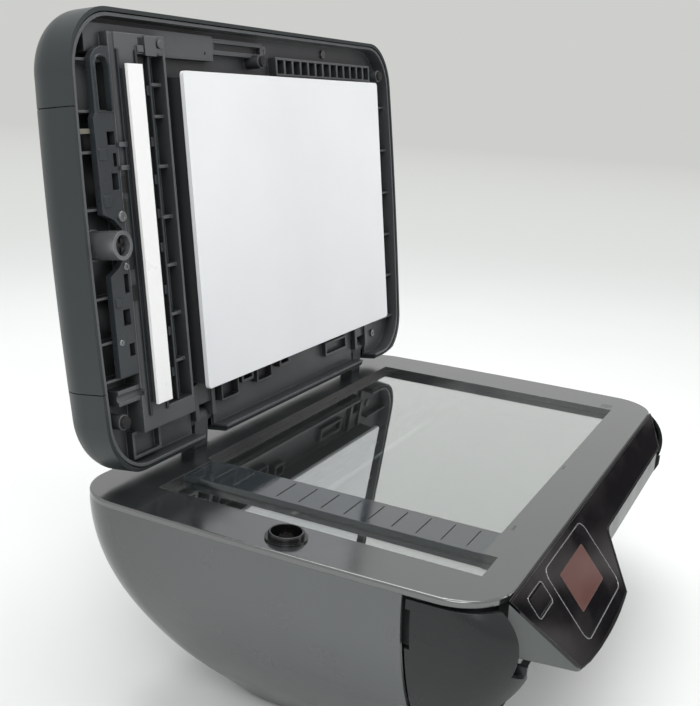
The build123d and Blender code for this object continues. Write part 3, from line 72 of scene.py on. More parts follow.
def linear(colour):
    """A colour of three 0-255 display values as a scene-linear colour."""
    channels = []
    for value in colour:
        share = value / 255
        channels.append(share / 12.92 if share <= 0.04045 else ((share + 0.055) / 1.055) ** 2.4)
    return (*channels, 1.0)


def shade(colour, share):
    """The same colour, lighter or darker by a share."""
    return (*[min(1, channel * share) for channel in linear(colour)[:3]], 1.0)


class Shader:
    """Short ways to build a tree of shader nodes."""

    def __init__(self, tree):
        self.tree = tree

    def node(self, kind, **settings):
        """A new node with its settings."""
        made = self.tree.nodes.new(kind)
        for key, value in settings.items():
            setattr(made, key, value)
        return made

    def join(self, output, socket):
        """A link from an output to an input."""
        self.tree.links.new(output, socket)

    def remap(self, value, low, high, out_low=0.0, out_high=1.0, curve="LINEAR"):
        """A value's run from low to high stretched to another run."""
        made = self.node("ShaderNodeMapRange", interpolation_type=curve)
        made.inputs["From Min"].default_value = low
        made.inputs["From Max"].default_value = high
        made.inputs["To Min"].default_value = out_low
        made.inputs["To Max"].default_value = out_high
        self.join(value, made.inputs["Value"])
        return made.outputs["Result"]

    def blend(self, share, first, second):
        """Two colours, each a tuple or another node's output, mixed by a share of the second."""
        made = self.node("ShaderNodeMix", data_type="RGBA")
        self.join(share, made.inputs["Factor"])
        for index, colour in ((MIX_FIRST, first), (MIX_SECOND, second)):
            if isinstance(colour, tuple):
                made.inputs[index].default_value = colour
            else:
                self.join(colour, made.inputs[index])
        return made.outputs[MIX_RESULT]

    def mixed(self, share, first, second):
        """Two shaders mixed by a share of the second."""
        made = self.node("ShaderNodeMixShader")
        self.join(share, made.inputs["Fac"])
        self.join(first, made.inputs[1])
        self.join(second, made.inputs[2])
        return made.outputs["Shader"]


class Finish(Shader):
    """A procedural material on the Principled shader, in object coordinates."""

    def __init__(self, name, **sockets):
        self.material = bpy.data.materials.new(name)
        self.material.use_nodes = True
        super().__init__(self.material.node_tree)
        self.surface = self.tree.nodes["Principled BSDF"]
        self.place = self.node("ShaderNodeTexCoord").outputs["Object"]
        for socket, value in sockets.items():
            self.surface.inputs[socket.replace("_", " ")].default_value = value

    def stretched(self, scale):
        """Object coordinates scaled by axis, so that a noise on them runs in lines."""
        mapping = self.node("ShaderNodeMapping")
        mapping.inputs["Scale"].default_value = scale
        self.join(self.place, mapping.inputs["Vector"])
        return mapping.outputs["Vector"]

    def noise(self, scale, detail, place=None):
        """Cloudy noise of so many features to a metre."""
        texture = self.node("ShaderNodeTexNoise")
        texture.inputs["Scale"].default_value = scale
        texture.inputs["Detail"].default_value = detail
        self.join(place or self.place, texture.inputs["Vector"])
        return texture.outputs["Fac"]

    def cells(self, scale):
        """Distance from the middle of scattered cells."""
        texture = self.node("ShaderNodeTexVoronoi")
        texture.inputs["Scale"].default_value = scale
        self.join(self.place, texture.inputs["Vector"])
        return texture.outputs["Distance"]

    def product(self, first, second):
        """An output times another output or a number."""
        made = self.node("ShaderNodeMath", operation="MULTIPLY")
        self.join(first, made.inputs[0])
        if isinstance(second, (int, float)):
            made.inputs[1].default_value = second
        else:
            self.join(second, made.inputs[1])
        return made.outputs[0]

    def rounded(self, radius):
        """The surface normal with every sharp edge eased by a small radius."""
        made = self.node("ShaderNodeBevel", samples=4)
        made.inputs["Radius"].default_value = radius
        return made.outputs["Normal"]

    def edges(self, normal):
        """1 along eased edges and 0 elsewhere."""
        geometry = self.node("ShaderNodeNewGeometry")
        dot = self.node("ShaderNodeVectorMath", operation="DOT_PRODUCT")
        self.join(normal, dot.inputs[0])
        self.join(geometry.outputs["Normal"], dot.inputs[1])
        return self.remap(dot.outputs["Value"], 0.99, 0.8)

    def open_share(self, reach):
        """1 on open faces and 0 deep in recesses narrower than the reach."""
        made = self.node("ShaderNodeAmbientOcclusion", samples=6)
        made.inputs["Distance"].default_value = reach
        return self.remap(made.outputs["AO"], 0.25, 0.85)

    def along_y(self, low, high):
        """A smooth run from 0 to 1 from front to back, in metres."""
        parts = self.node("ShaderNodeSeparateXYZ")
        self.join(self.place, parts.inputs["Vector"])
        return self.remap(parts.outputs["Y"], low, high, curve="SMOOTHSTEP")

    def bump(self, height, depth, normal, strength=1.0):
        """A normal raised by a height, on top of another normal."""
        made = self.node("ShaderNodeBump")
        made.inputs["Distance"].default_value = depth
        made.inputs["Strength"].default_value = strength
        self.join(height, made.inputs["Height"])
        self.join(normal, made.inputs["Normal"])
        return made.outputs["Normal"]

    def colour(self, output):
        self.join(output, self.surface.inputs["Base Color"])

    def rough(self, output):
        self.join(output, self.surface.inputs["Roughness"])

    def normal(self, output):
        self.join(output, self.surface.inputs["Normal"])


def moulded(
    name, colour, gloss, cloud=0.1, grain=0.00003, ease=0.0005, edge_wear_and_highlight=0.5, recess=0.0, fade=None, **more
):
    """Moulded plastic: clouded tone, fine spark-eroded grain, and edges lightened, partly as worn edges
    and partly as a painted highlight.

    recess is the width of gaps that get painted shade, and fade the stretch in y over which the tone gets
    painted shade towards the back, both in metres.
    """
    finish = Finish(name, **more)
    clouds = finish.remap(finish.noise(11, 4), 0.3, 0.7)
    tone = finish.blend(clouds, shade(colour, 1 - cloud), shade(colour, 1 + cloud))
    # Painted shade: the tone goes dark in gaps narrower than the recess width
    if recess:
        tone = finish.blend(finish.open_share(recess), shade(colour, 0.24), tone)
    # Painted shade: the tone darkens towards the back
    if fade:
        tone = finish.blend(finish.along_y(*fade), tone, shade(colour, 0.5))
    eased = finish.rounded(ease)
    # Eased edges lighten in patches: partly use-worn, partly a painted highlight
    edge_patches = finish.remap(finish.noise(60, 3), 0.35, 0.65, 0.3, 1)
    worn_and_highlit_edges = finish.product(finish.edges(eased), edge_patches)
    finish.colour(finish.blend(finish.product(worn_and_highlit_edges, edge_wear_and_highlight), tone, shade(colour, 2.1)))
    finish.rough(finish.remap(finish.noise(35, 4), 0.3, 0.7, gloss - 0.05, gloss + 0.05))
    finish.normal(finish.bump(finish.noise(900, 2), grain, eased))
    return finish.material


def glossy(name, colour, gloss, dust=0.35, **more):
    """Polished plastic with faint smears and a scatter of dust."""
    finish = Finish(name, **more)
    specks = finish.remap(finish.cells(420), 0.05, 0.02)
    specks = finish.product(specks, finish.remap(finish.noise(24, 3), 0.5, 0.66))
    finish.colour(finish.blend(finish.product(specks, dust), linear(colour), linear((150, 150, 148))))
    smears = finish.remap(finish.noise(28, 5, finish.stretched((1, 2.5, 1))), 0.42, 0.72)
    finish.rough(finish.remap(smears, 0, 1, gloss, gloss + 0.12))
    finish.normal(finish.bump(finish.noise(18, 2), 0.00006, finish.rounded(0.0004), 0.5))
    return finish.material


def rubber(name, colour):
    """Soft rubber: dull, with ground-in dust and a fine ground face."""
    finish = Finish(name, Specular_IOR_Level=0.3)
    dusty = finish.remap(finish.noise(90, 4), 0.45, 0.75, 0, 0.35)
    finish.colour(finish.blend(dusty, linear(colour), linear((88, 86, 84))))
    finish.rough(finish.remap(finish.noise(200, 2), 0.3, 0.7, 0.7, 0.9))
    finish.normal(finish.bump(finish.noise(1500, 2), 0.00005, finish.rounded(0.0004)))
    return finish.material


def metal(name, colour, gloss, brushed=(1, 40, 40), spangle=0.0):
    """Plain metal: drawn or rolled lines, or zinc flowers on sheet."""
    finish = Finish(name, Metallic=1.0)
    lines = finish.noise(60, 3, finish.stretched(brushed))
    flowers = finish.remap(finish.cells(70), 0.1, 0.7, 0, spangle)
    tone = finish.blend(flowers, linear(colour), shade(colour, 0.62))
    finish.colour(finish.blend(finish.remap(lines, 0.3, 0.7, 0, 0.3), tone, shade(colour, 0.75)))
    finish.rough(finish.remap(lines, 0.3, 0.7, gloss - 0.06, gloss + 0.08))
    finish.normal(finish.bump(lines, 0.00003, finish.rounded(0.0003)))
    return finish.material


def clear_glass(name):
    """Float glass that mirrors strongly, with a faint green cast and a breath of haze from handling."""
    finish = Finish(name, IOR=2.2, Coat_Weight=1.0, Coat_IOR=2.3, Coat_Roughness=0.005)
    finish.surface.inputs["Transmission Weight"].default_value = 0.985
    finish.surface.inputs["Base Color"].default_value = (0.82, 0.9, 0.86, 1)
    haze = finish.remap(finish.noise(9, 5, finish.stretched((1, 2, 1))), 0.5, 0.75)
    finish.rough(finish.remap(haze, 0, 1, 0.0, 0.05))
    return finish.material


def translucent(name, colour):
    """Smoky translucent plastic, lightly frosted, with painted shade darkening its grooves."""
    finish = Finish(name, IOR=1.9)
    finish.surface.inputs["Transmission Weight"].default_value = 0.45
    clouds = finish.remap(finish.noise(40, 3), 0.3, 0.7)
    tone = finish.blend(clouds, shade(colour, 0.92), shade(colour, 1.06))
    # Painted shade: near-black in narrow grooves
    finish.colour(finish.blend(finish.open_share(0.002), linear((12, 14, 15)), tone))
    finish.rough(finish.remap(finish.noise(55, 3), 0.3, 0.7, 0.05, 0.12))
    finish.normal(finish.rounded(0.0005))
    return finish.material


def foam_sheet(name):
    """The document pad's white film: faintly uneven, matt, with a soft sheen."""
    finish = Finish(name, Specular_IOR_Level=0.35, Sheen_Weight=0.05)
    wide = finish.remap(finish.noise(5, 4), 0.3, 0.7)
    finish.colour(finish.blend(wide, linear((228, 229, 231)), linear((237, 238, 239))))
    finish.rough(finish.remap(finish.noise(60, 3), 0.3, 0.7, 0.5, 0.62))
    quilted = finish.bump(finish.noise(14, 3), 0.0004, finish.rounded(0.0006), 0.3)
    finish.normal(finish.bump(finish.noise(700, 2), 0.00003, quilted))
    return finish.material


def circuit_board(name):
    """Green solder mask with faint copper traces; the socket behind the board's edge is black."""
    finish = Finish(name)
    grid = finish.node("ShaderNodeTexBrick")
    grid.inputs["Scale"].default_value = 120
    for socket, colour in (("Color1", (22, 82, 48)), ("Color2", (26, 92, 54)), ("Mortar", (58, 128, 78))):
        grid.inputs[socket].default_value = linear(colour)
    grid.inputs["Mortar Size"].default_value = 0.03
    turned = finish.node("ShaderNodeMapping")
    turned.inputs["Rotation"].default_value = (0, math.radians(90), 0)
    finish.join(finish.place, turned.inputs["Vector"])
    finish.join(turned.outputs["Vector"], grid.inputs["Vector"])
    socket_share = finish.along_y(BOARD_BACK * MM, (BOARD_BACK + 1) * MM)
    finish.colour(finish.blend(socket_share, grid.outputs["Color"], linear((30, 31, 33))))
    finish.rough(finish.remap(finish.noise(300, 2), 0.3, 0.7, 0.3, 0.45))
    return finish.material


CHARCOAL = moulded("lid_charcoal", (36, 42, 43), 0.42, cloud=0.07)
# Frame and slab: painted shade in their recesses, and edges lightened partly as worn edges, partly as a
# painted highlight
FRAME_BLACK = moulded("frame_black", (82, 84, 86), 0.34, cloud=0.12, ease=0.0011, edge_wear_and_highlight=1.0, recess=0.03)
SLAB_BLACK = moulded("slab_black", (46, 50, 53), 0.3, cloud=0.1, ease=0.001, edge_wear_and_highlight=1.0, recess=0.006)
# Near-black for sheets of painted shade in slots and holes, and for the channel floor
CUT_BLACK = moulded("cut_black", (9, 9, 10), 0.6, cloud=0.05, edge_wear_and_highlight=0)
INSIDE_BLACK = moulded("inside_black", (36, 37, 39), 0.5, cloud=0.12, edge_wear_and_highlight=0.6)
# Body grey: tone painted darker towards the back as shade
BODY_GREY = moulded("body_grey", (70, 74, 74), 0.24, cloud=0.05, grain=0.00002, fade=(0.0, 0.16), IOR=1.8)
# Access door: a darker copy of the body grey, painted shade on the same moulding
WING_SHADED_GREY = moulded("wing_shaded_grey", (28, 30, 31), 0.26, cloud=0.05, grain=0.00002, Specular_IOR_Level=0.35)
BED_GREY = moulded("bed_grey", (40, 42, 43), 0.16, cloud=0.06, grain=0.000015, IOR=2.3)
HOUSING_GREY = moulded("housing_grey", (80, 84, 83), 0.36, cloud=0.06)
CLIP_TAN = moulded("clip_tan", (112, 108, 98), 0.4, cloud=0.06)
MARK_DARK = moulded("mark_dark", (22, 23, 24), 0.5, cloud=0.04, ease=0.0001, edge_wear_and_highlight=0)
STRIP_WHITE = moulded("strip_white", (244, 244, 243), 0.3, cloud=0.02, edge_wear_and_highlight=0)
GEAR_WHITE = moulded("gear_white", (206, 203, 192), 0.36, cloud=0.05, edge_wear_and_highlight=0.1)
GLOSS_BLACK = glossy("gloss_black", (10, 10, 12), 0.04)
CUP_BLACK = glossy("cup_black", (16, 16, 17), 0.16, dust=0.6)
RING_GREY = glossy("ring_grey", (128, 130, 132), 0.16, dust=0.4, Metallic=0.6)
SCREEN = glossy("screen_red", (92, 62, 57), 0.1, dust=0.5)
INK_BLACK = glossy("ink_black", (24, 24, 27), 0.2, dust=0.2)
PAD_WHITE = foam_sheet("pad_white")
GLASS = clear_glass("scan_glass")
DIVIDER = translucent("divider_smoke", (62, 68, 72))
RUBBER = rubber("black_rubber", (34, 34, 35))
ROLLER_RUBBER = rubber("roller_rubber", (58, 60, 63))
SHEET_STEEL = metal("sheet_steel", (176, 178, 180), 0.36, spangle=0.5)
ROD_STEEL = metal("rod_steel", (196, 198, 200), 0.18, brushed=(4, 120, 120))
SCREW_STEEL = metal("screw_steel", (150, 150, 152), 0.3, brushed=(20, 20, 20))
SILVER = metal("silver_line", (205, 207, 210), 0.2, brushed=(6, 6, 6))
BOARD_GREEN = circuit_board("board_green")

materials_by_node = {
    CHARCOAL: ("lid_shell", "adf_cover", "adf_input_tray", "lower_adf_guide", "upper_adf_guide"),
    FRAME_BLACK: ("lid_frame", "lid_hinges", "hinge_posts"),
    INSIDE_BLACK: (
        "scanner_tub", "base_pan", "platen", "service_station", "print_carriage", "scan_carriage",
        "left_paper_guide", "right_paper_guide", "power_supply",
    ),
    BODY_GREY: ("body_casing", "paper_tray", "output_extender"),
    WING_SHADED_GREY: ("access_door",),
    BED_GREY: ("scanner_bezel",),
    HOUSING_GREY: ("panel_housing",),
    GLOSS_BLACK: ("panel_fascia", "power_button"),
    CUP_BLACK: ("drive_cup",),
    RING_GREY: ("coupler_sleeve",),
    STRIP_WHITE: ("adf_backing_strip",),
    PAD_WHITE: ("document_pad",),
    GLASS: ("platen_glass", "adf_glass"),
    DIVIDER: ("glass_divider",),
    RUBBER: ("rubber_feet", "lid_bumpers", "carriage_belt", "scan_belt", "paper_drive_belt"),
    ROLLER_RUBBER: ("feed_tyres", "pickup_roller", "adf_feed_roller", "adf_pick_roller"),
    SHEET_STEEL: ("print_frame",),
    ROD_STEEL: ("guide_rods", "print_motors", "scanner_motors"),
    SCREW_STEEL: ("lid_screws",),
    GEAR_WHITE: (
        "feed_shaft", "motor_pinion", "exit_roller", "star_wheels", "carriage_pulley",
        "scan_pulley", "base_coupler", "drive_gear", "guide_pinion", "adf_guide_pinion",
    ),
    INK_BLACK: ("ink_cartridges", "lid_coupler"),
    BOARD_GREEN: ("main_board", "display"),
}
for material, names in materials_by_node.items():
    for name in names:
        nodes[name].data.materials.clear()
        nodes[name].data.materials.append(material)
bare = sorted(set(nodes) - {name for names in materials_by_node.values() for name in names})
if bare:
    raise ValueError(f"nodes without a finish: {bare}")


# Drawing helpers: outlines are (x, y) points in millimetres, anticlockwise


def arc(centre, radius, start, steps):
    """Points of a quarter turn that starts at so many quarters."""
    turns = [math.pi / 2 * (start + step / steps) for step in range(steps + 1)]
    return [(centre[0] + radius * math.cos(turn), centre[1] + radius * math.sin(turn)) for turn in turns]


def box_outline(low, high):
    """A rectangle's corners."""
    return [low, (high[0], low[1]), high, (low[0], high[1])]


def rounded_outline(low, high, radius, steps=8):
    """A rectangle with its corners as short arcs."""
    left, right = low[0] + radius, high[0] - radius
    bottom, top = low[1] + radius, high[1] - radius
    centres = ((right, top), (left, top), (left, bottom), (right, bottom))
    return [point for start, centre in enumerate(centres) for point in arc(centre, radius, start, steps)]


def arch_outline(low, high, radius, steps=8):
    """A slot's outline, square below and round above."""
    top = high[1] - radius
    right_arc = arc((high[0] - radius, top), radius, 0, steps)
    left_arc = arc((low[0] + radius, top), radius, 1, steps)
    return [low, (high[0], low[1]), *right_arc, *left_arc]


def ring_at(mesh, points, place):
    """New vertices at points of three millimetre values."""
    return [mesh.verts.new(place @ Vector(point)) for point in points]


def add_band(mesh, lower, upper):
    """Faces between two closed rings of as many vertices."""
    for i in range(len(lower)):
        j = (i + 1) % len(lower)
        mesh.faces.new((lower[i], lower[j], upper[j], upper[i]))


def add_plate(mesh, outline, low, high, place):
    """A flat plate."""
    bottom, top = (ring_at(mesh, [(x, y, level) for x, y in outline], place) for level in (low, high))
    add_band(mesh, bottom, top)
    mesh.faces.new(top)
    mesh.faces.new(list(reversed(bottom)))


def add_block(mesh, low, high, place, ease=0.4):
    """A block with its upright edges eased."""
    radius = min(ease, (high[0] - low[0]) / 3, (high[1] - low[1]) / 3)
    outline = rounded_outline(low[:2], high[:2], max(radius, 0.05), 2)
    add_plate(mesh, outline, low[2], high[2], place)


def add_pierced_plate(mesh, outline, holes, low, high, place):
    """A flat plate with holes right through it."""
    loops = [outline, *holes]
    bottoms = [ring_at(mesh, [(x, y, low) for x, y in loop], place) for loop in loops]
    tops = [ring_at(mesh, [(x, y, high) for x, y in loop], place) for loop in loops]
    all_bottoms = [vertex for ring in bottoms for vertex in ring]
    all_tops = [vertex for ring in tops for vertex in ring]
    for triangle in tessellate_polygon([[Vector((x, y, 0)) for x, y in loop] for loop in loops]):
        mesh.faces.new([all_tops[i] for i in triangle])
        mesh.faces.new([all_bottoms[i] for i in reversed(triangle)])
    for bottom, top in zip(bottoms, tops):
        add_band(mesh, bottom, top)


def add_cell(mesh, low, high, base, top, place, wall=1.1):
    """An open box of thin walls."""
    inner = (low[0] + wall, low[1] + wall), (high[0] - wall, high[1] - wall)
    add_pierced_plate(mesh, box_outline(low, high), [box_outline(*inner)], base, top, place)


def add_frame_line(mesh, outline, width, low, high, place):
    """A thin raised line that follows a closed outline."""
    count = len(outline)
    sides = []
    for i in range(count):
        before, here, after = (Vector(outline[(i + k) % count]) for k in (-1, 0, 1))
        along = (after - before).normalized()
        sides.append((here, Vector((along.y, -along.x)) * width / 2))
    layers = []
    for share, level in ((1, low), (1, high), (-1, high), (-1, low)):
        layers.append(ring_at(mesh, [(*(here + out * share), level) for here, out in sides], place))
    for lower, upper in zip(layers, layers[1:] + layers[:1]):
        add_band(mesh, lower, upper)


def add_lathe(mesh, profile, place, steps=24):
    """A turned form from (radius, height) points about the placing z axis."""
    turns = [2 * math.pi * step / steps for step in range(steps)]
    rings = []
    for radius, height in profile:
        points = [(radius * math.cos(turn), radius * math.sin(turn), height) for turn in turns]
        rings.append(ring_at(mesh, points, place))
    for lower, upper in zip(rings, rings[1:]):
        add_band(mesh, lower, upper)
    mesh.faces.new(rings[-1])
    mesh.faces.new(list(reversed(rings[0])))


def drawn(name, material, body, draw):
    """Runs a drawing function on a new mesh and makes it a piece that rides on a body."""
    mesh = bmesh.new()
    draw(mesh)
    bmesh.ops.recalc_face_normals(mesh, faces=mesh.faces)
    data = bpy.data.meshes.new(name)
    mesh.to_mesh(data)
    mesh.free()
    data.materials.append(material)
    made = bpy.data.objects.new(name, data)
    bpy.context.scene.collection.objects.link(made)
    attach(made, body)


# Control panel details, (x, up the slope) from the crease

SCREEN_LOW, SCREEN_HIGH, SCREEN_RADIUS = (-133.9, -41.4), (-83.1, -15.6), 1.2
SCREEN_SUNK, SCREEN_RISE = -0.1, 0.12
FRAME_LOW, FRAME_HIGH, FRAME_RADIUS = (-149.5, -54.0), (-64.5, -6.0), 7
BUTTON_LOW, BUTTON_HIGH, BUTTON_RADIUS = (-183.5, -20.0), (-160.5, -9.0), 2.4
BUTTON_MARGIN = 1.4
FRAME_WIDTH, BUTTON_WIDTH = 0.55, 0.5
LINE_SUNK, LINE_RISE = -0.05, 0.25
RIM_WIDTH, RIM_SUNK, RIM_RISE = 1.3, -0.1, 0.4

# The fascia's outline, from its upper left corner down round the nose and along to the upper right
FASCIA_EDGE = (
    (-203.0, -0.9), (-174.6, -57.4), (-160, -60.2), (-140, -62.2), (-119.5, -63), (-90, -62.8),
    (-63, -60.6), (-33.8, -26.4), (-32.6, -25), (159.6, -24.9), (190.6, -0.9),
)


def draw_display_window(mesh):
    """The display's tinted window."""
    outline = rounded_outline(SCREEN_LOW, SCREEN_HIGH, SCREEN_RADIUS)
    add_plate(mesh, outline, SCREEN_SUNK, SCREEN_RISE, ON_PANEL)


def draw_touch_frame(mesh):
    """The printed line round the touch area."""
    outline = rounded_outline(FRAME_LOW, FRAME_HIGH, FRAME_RADIUS)
    add_frame_line(mesh, outline, FRAME_WIDTH, LINE_SUNK, LINE_RISE, ON_PANEL)


def draw_button_frame(mesh):
    """The printed line round the power button."""
    low = (BUTTON_LOW[0] - BUTTON_MARGIN, BUTTON_LOW[1] - BUTTON_MARGIN)
    high = (BUTTON_HIGH[0] + BUTTON_MARGIN, BUTTON_HIGH[1] + BUTTON_MARGIN)
    outline = rounded_outline(low, high, BUTTON_RADIUS)
    add_frame_line(mesh, outline, BUTTON_WIDTH, LINE_SUNK, LINE_RISE, ON_PANEL)


def draw_fascia_rim(mesh):
    """The fascia's slightly raised edge."""
    add_frame_line(mesh, FASCIA_EDGE, RIM_WIDTH, RIM_SUNK, RIM_RISE, ON_PANEL)


drawn("display_window", SCREEN, "base", draw_display_window)
drawn("touch_frame_line", SILVER, "base", draw_touch_frame)
drawn("button_frame_line", SILVER, "base", draw_button_frame)
drawn("fascia_rim", GLOSS_BLACK, "base", draw_fascia_rim)


# Lid details: places are (x, up the lid), levels stand out of the lid's own plane

MOAT_FLOOR = 6.5
CHANNEL_FLOOR, CHANNEL_TOP = 9.0, 15.8
PLATE_TOP = 13.0
SKIN_LOW, SLAB_TOP = 15.0, 19.5
FEATURE_TOP = 21.1
SINK = 0.1

# The page channel and the rails beside the white strip
CHANNEL_LOW, CHANNEL_HIGH = 24.5, 249.5
CHANNEL_LEFT, RIB_LEFT, RIB_RIGHT, RIB_TOP = -159.7, -147.4, -145.8, 18.6
TAB_PLACES = (228, 196, 172, 150, 128, 100, 72, 44)
TAB_TOP = 17.6
RAIL_LOW, RAIL_HIGH = 22, 252
RAILS = ((-180.2, -178.4, FEATURE_TOP), (-162.2, -160.5, FEATURE_TOP - 0.3))
MOAT_RIB_LOW, MOAT_RIB_HIGH = (-214, 52, MOAT_FLOOR), (-213, 244, 11)

# The slab's pierced left half, and near-black sheets of painted shade where slots open on its right half
SKIN_OUTLINE = (
    (-204, 52), (-186.1, 52), (-186.1, 253), (-193, 253), (-199, 250.5), (-203, 246), (-203.5, 214),
    (-205.5, 211), (-205.5, 154), (-196, 150), (-189.5, 144), (-188, 135), (-189.5, 126), (-196, 120),
    (-204, 116),
)
POCKET_LOW, POCKET_HIGH, POCKET_RADIUS = (-199.8, 215), (-187.6, 247), 6
LIP_LOW, LIP_HIGH, LIP_RADIUS = (-200.4, 214.4), (-187, 247.6), 6.4
LIP_WIDTH, LIP_RISE, PAD_RISE, CUT_RISE = 0.9, 0.7, 0.8, 0.12
SKIN_SLOTS = (
    ((-195, 195), (-187.6, 203)), ((-191, 182), (-187.6, 190)), ((-194, 168), (-188, 178)),
    ((-192, 104), (-187.6, 116)), ((-196, 84), (-189, 94)), ((-193, 64), (-187.6, 72)),
)
SKIN_PADS = (((-204, 186), (-197, 193)), ((-203, 158), (-196.5, 165)), ((-202, 96), (-197, 102)))
SLOT_SHADE_SHEETS = (
    ((-185.6, 166), (-181, 176)), ((-185.6, 151), (-183, 162)), ((-185.6, 118), (-181, 128)),
    ((-185.6, 98), (-182, 108)), ((-157, 250.6), (-153, 260)),
)
# The plate's small hole is a near-black sheet of painted shade
PLATE_HOLE_LOW, PLATE_HOLE_HIGH = (-75.8, 254.2), (-74, 256)

# The hook, its arm and round pin, the open cells, the knobs and the tan clip
HOOK_LOW, HOOK_HIGH = (-152, 249), (-141, 261)
ARM_LOW, ARM_HIGH, ARM_DROP = (-141.2, 251), (-136, 254), 0.6
PIN_PLACE, PIN_RADIUS, PIN_EASE = (-135.5, 257, 0), 2.9, 0.5
CELLS = (((-87, 8), (-64, 23), 13), ((-36, 10), (-14, 24), 12))
KNOBS = ((-188.6, 151.5, 3.6, 21.0), (-189, 120.5, 2.6, 20.6), (-200, 74, 2.2, 20.2))
KNOB_EASE = 0.5
CLIP_LOW, CLIP_HIGH = (-214.5, 202, MOAT_FLOOR), (-205.7, 205, 16)


def draw_slab_skin(mesh):
    """The feeder slab's pierced left half over the moat, with a lip round the arched pocket."""
    holes = [arch_outline(POCKET_LOW, POCKET_HIGH, POCKET_RADIUS)]
    holes += [box_outline(low, high) for low, high in SKIN_SLOTS]
    add_pierced_plate(mesh, SKIN_OUTLINE, holes, SKIN_LOW, SLAB_TOP, ON_LID)
    lip = arch_outline(LIP_LOW, LIP_HIGH, LIP_RADIUS)
    add_frame_line(mesh, lip, LIP_WIDTH, SLAB_TOP - SINK, SLAB_TOP + LIP_RISE, ON_LID)
    for low, high in SKIN_PADS:
        add_block(mesh, (*low, SLAB_TOP - SINK), (*high, SLAB_TOP + PAD_RISE), ON_LID)


def draw_slab_cuts(mesh):
    """Near-black sheets of painted shade where slots open on the slab's right half and in the plate's
    small hole, and a smooth channel floor in the same near-black.
    """
    for low, high in SLOT_SHADE_SHEETS:
        add_block(mesh, (*low, SLAB_TOP - SINK), (*high, SLAB_TOP + CUT_RISE), ON_LID, ease=0.2)
    floor_high = (RIB_LEFT, CHANNEL_HIGH, CHANNEL_TOP)
    add_block(mesh, (CHANNEL_LEFT, CHANNEL_LOW, CHANNEL_FLOOR), floor_high, ON_LID)
    add_block(mesh, (*PLATE_HOLE_LOW, PLATE_TOP - SINK), (*PLATE_HOLE_HIGH, PLATE_TOP + SINK), ON_LID)


def draw_rails(mesh):
    """Guide rails beside the white strip, the channel's middle rib with its tabs, and a moat rib."""
    for left, right, top in RAILS:
        add_block(mesh, (left, RAIL_LOW, SLAB_TOP - SINK), (right, RAIL_HIGH, top), ON_LID)
    rib_high = (RIB_RIGHT, CHANNEL_HIGH, RIB_TOP)
    add_block(mesh, (RIB_LEFT, CHANNEL_LOW, CHANNEL_FLOOR), rib_high, ON_LID)
    for up in TAB_PLACES:
        add_block(mesh, (-149.6, up - 3, CHANNEL_TOP - SINK), (-147.3, up + 3, TAB_TOP), ON_LID)
        add_block(mesh, (-160.7, up - 8, CHANNEL_TOP - SINK), (-158.6, up - 4, SLAB_TOP), ON_LID)
    add_block(mesh, MOAT_RIB_LOW, MOAT_RIB_HIGH, ON_LID)


def draw_lid_hook(mesh):
    """The hook with its arm and round pin, and two open cells by the lid's hinge edge."""
    add_block(mesh, (*HOOK_LOW, SLAB_TOP - SINK), (*HOOK_HIGH, FEATURE_TOP), ON_LID)
    add_block(mesh, (*ARM_LOW, SLAB_TOP - SINK), (*ARM_HIGH, FEATURE_TOP - ARM_DROP), ON_LID)
    pin = [(PIN_RADIUS, SLAB_TOP - SINK), (PIN_RADIUS, FEATURE_TOP - 0.4)]
    pin.append((PIN_RADIUS - PIN_EASE, FEATURE_TOP))
    add_lathe(mesh, pin, ON_LID @ Matrix.Translation(PIN_PLACE))
    for low, high, top in CELLS:
        add_cell(mesh, low, high, MOAT_FLOOR, top, ON_LID)


def draw_knobs(mesh):
    """Small turned bosses on the slab, each with a dimple."""
    for x, up, radius, top in KNOBS:
        wall = [(radius, SLAB_TOP - 0.2), (radius, top - KNOB_EASE), (radius - KNOB_EASE, top)]
        dimple = [(0.9, top), (0.8, top - 0.6)]
        add_lathe(mesh, wall + dimple, ON_LID @ Matrix.Translation((x, up, 0)))


def draw_sensor_clip(mesh):
    """The tan clip in the moat."""
    add_block(mesh, CLIP_LOW, CLIP_HIGH, ON_LID)


drawn("slab_skin", SLAB_BLACK, "lid", draw_slab_skin)
# Sheets of painted shade for slot and hole openings, and the channel floor
drawn("slab_cuts", CUT_BLACK, "lid", draw_slab_cuts)
drawn("lid_rails", SLAB_BLACK, "lid", draw_rails)
drawn("lid_hook", FRAME_BLACK, "lid", draw_lid_hook)
drawn("slab_knobs", RING_GREY, "lid", draw_knobs)
drawn("sensor_clip", CLIP_TAN, "lid", draw_sensor_clip)


# Bed details

TICK_GROUPS = ((9.5, -113.4), (-114.6, -115.2))
TICK_LENGTHS = (2.4, 1.2, 1.8, 1.2, 2.4)
TICK_STEP, TICK_WIDTH = 1.5, 0.45
PRINT_LOW, PRINT_HIGH = BED_TOP - 0.05, BED_TOP + 0.04
CORNER_MARKS = (((182.5, -109), (190.5, -101), 0.8, 0.5), ((184.8, -106.8), (188.2, -103.4), 0.5, 0.45))


def draw_bed_marks(mesh):
    """Plain paper-size ticks in small groups, and the corner where a page's edge is laid."""
    for x, y in TICK_GROUPS:
        for step, length in enumerate(TICK_LENGTHS):
            left = x + TICK_STEP * step
            low = (left, y - length / 2, PRINT_LOW)
            add_block(mesh, low, (left + TICK_WIDTH, y + length / 2, PRINT_HIGH), ON_BED, ease=0.1)
    for low, high, radius, width in CORNER_MARKS:
        outline = rounded_outline(low, high, radius, 3)
        add_frame_line(mesh, outline, width, PRINT_LOW, PRINT_HIGH, ON_BED)


drawn("bed_marks", MARK_DARK, "base", draw_bed_marks)


# Stage, light and camera

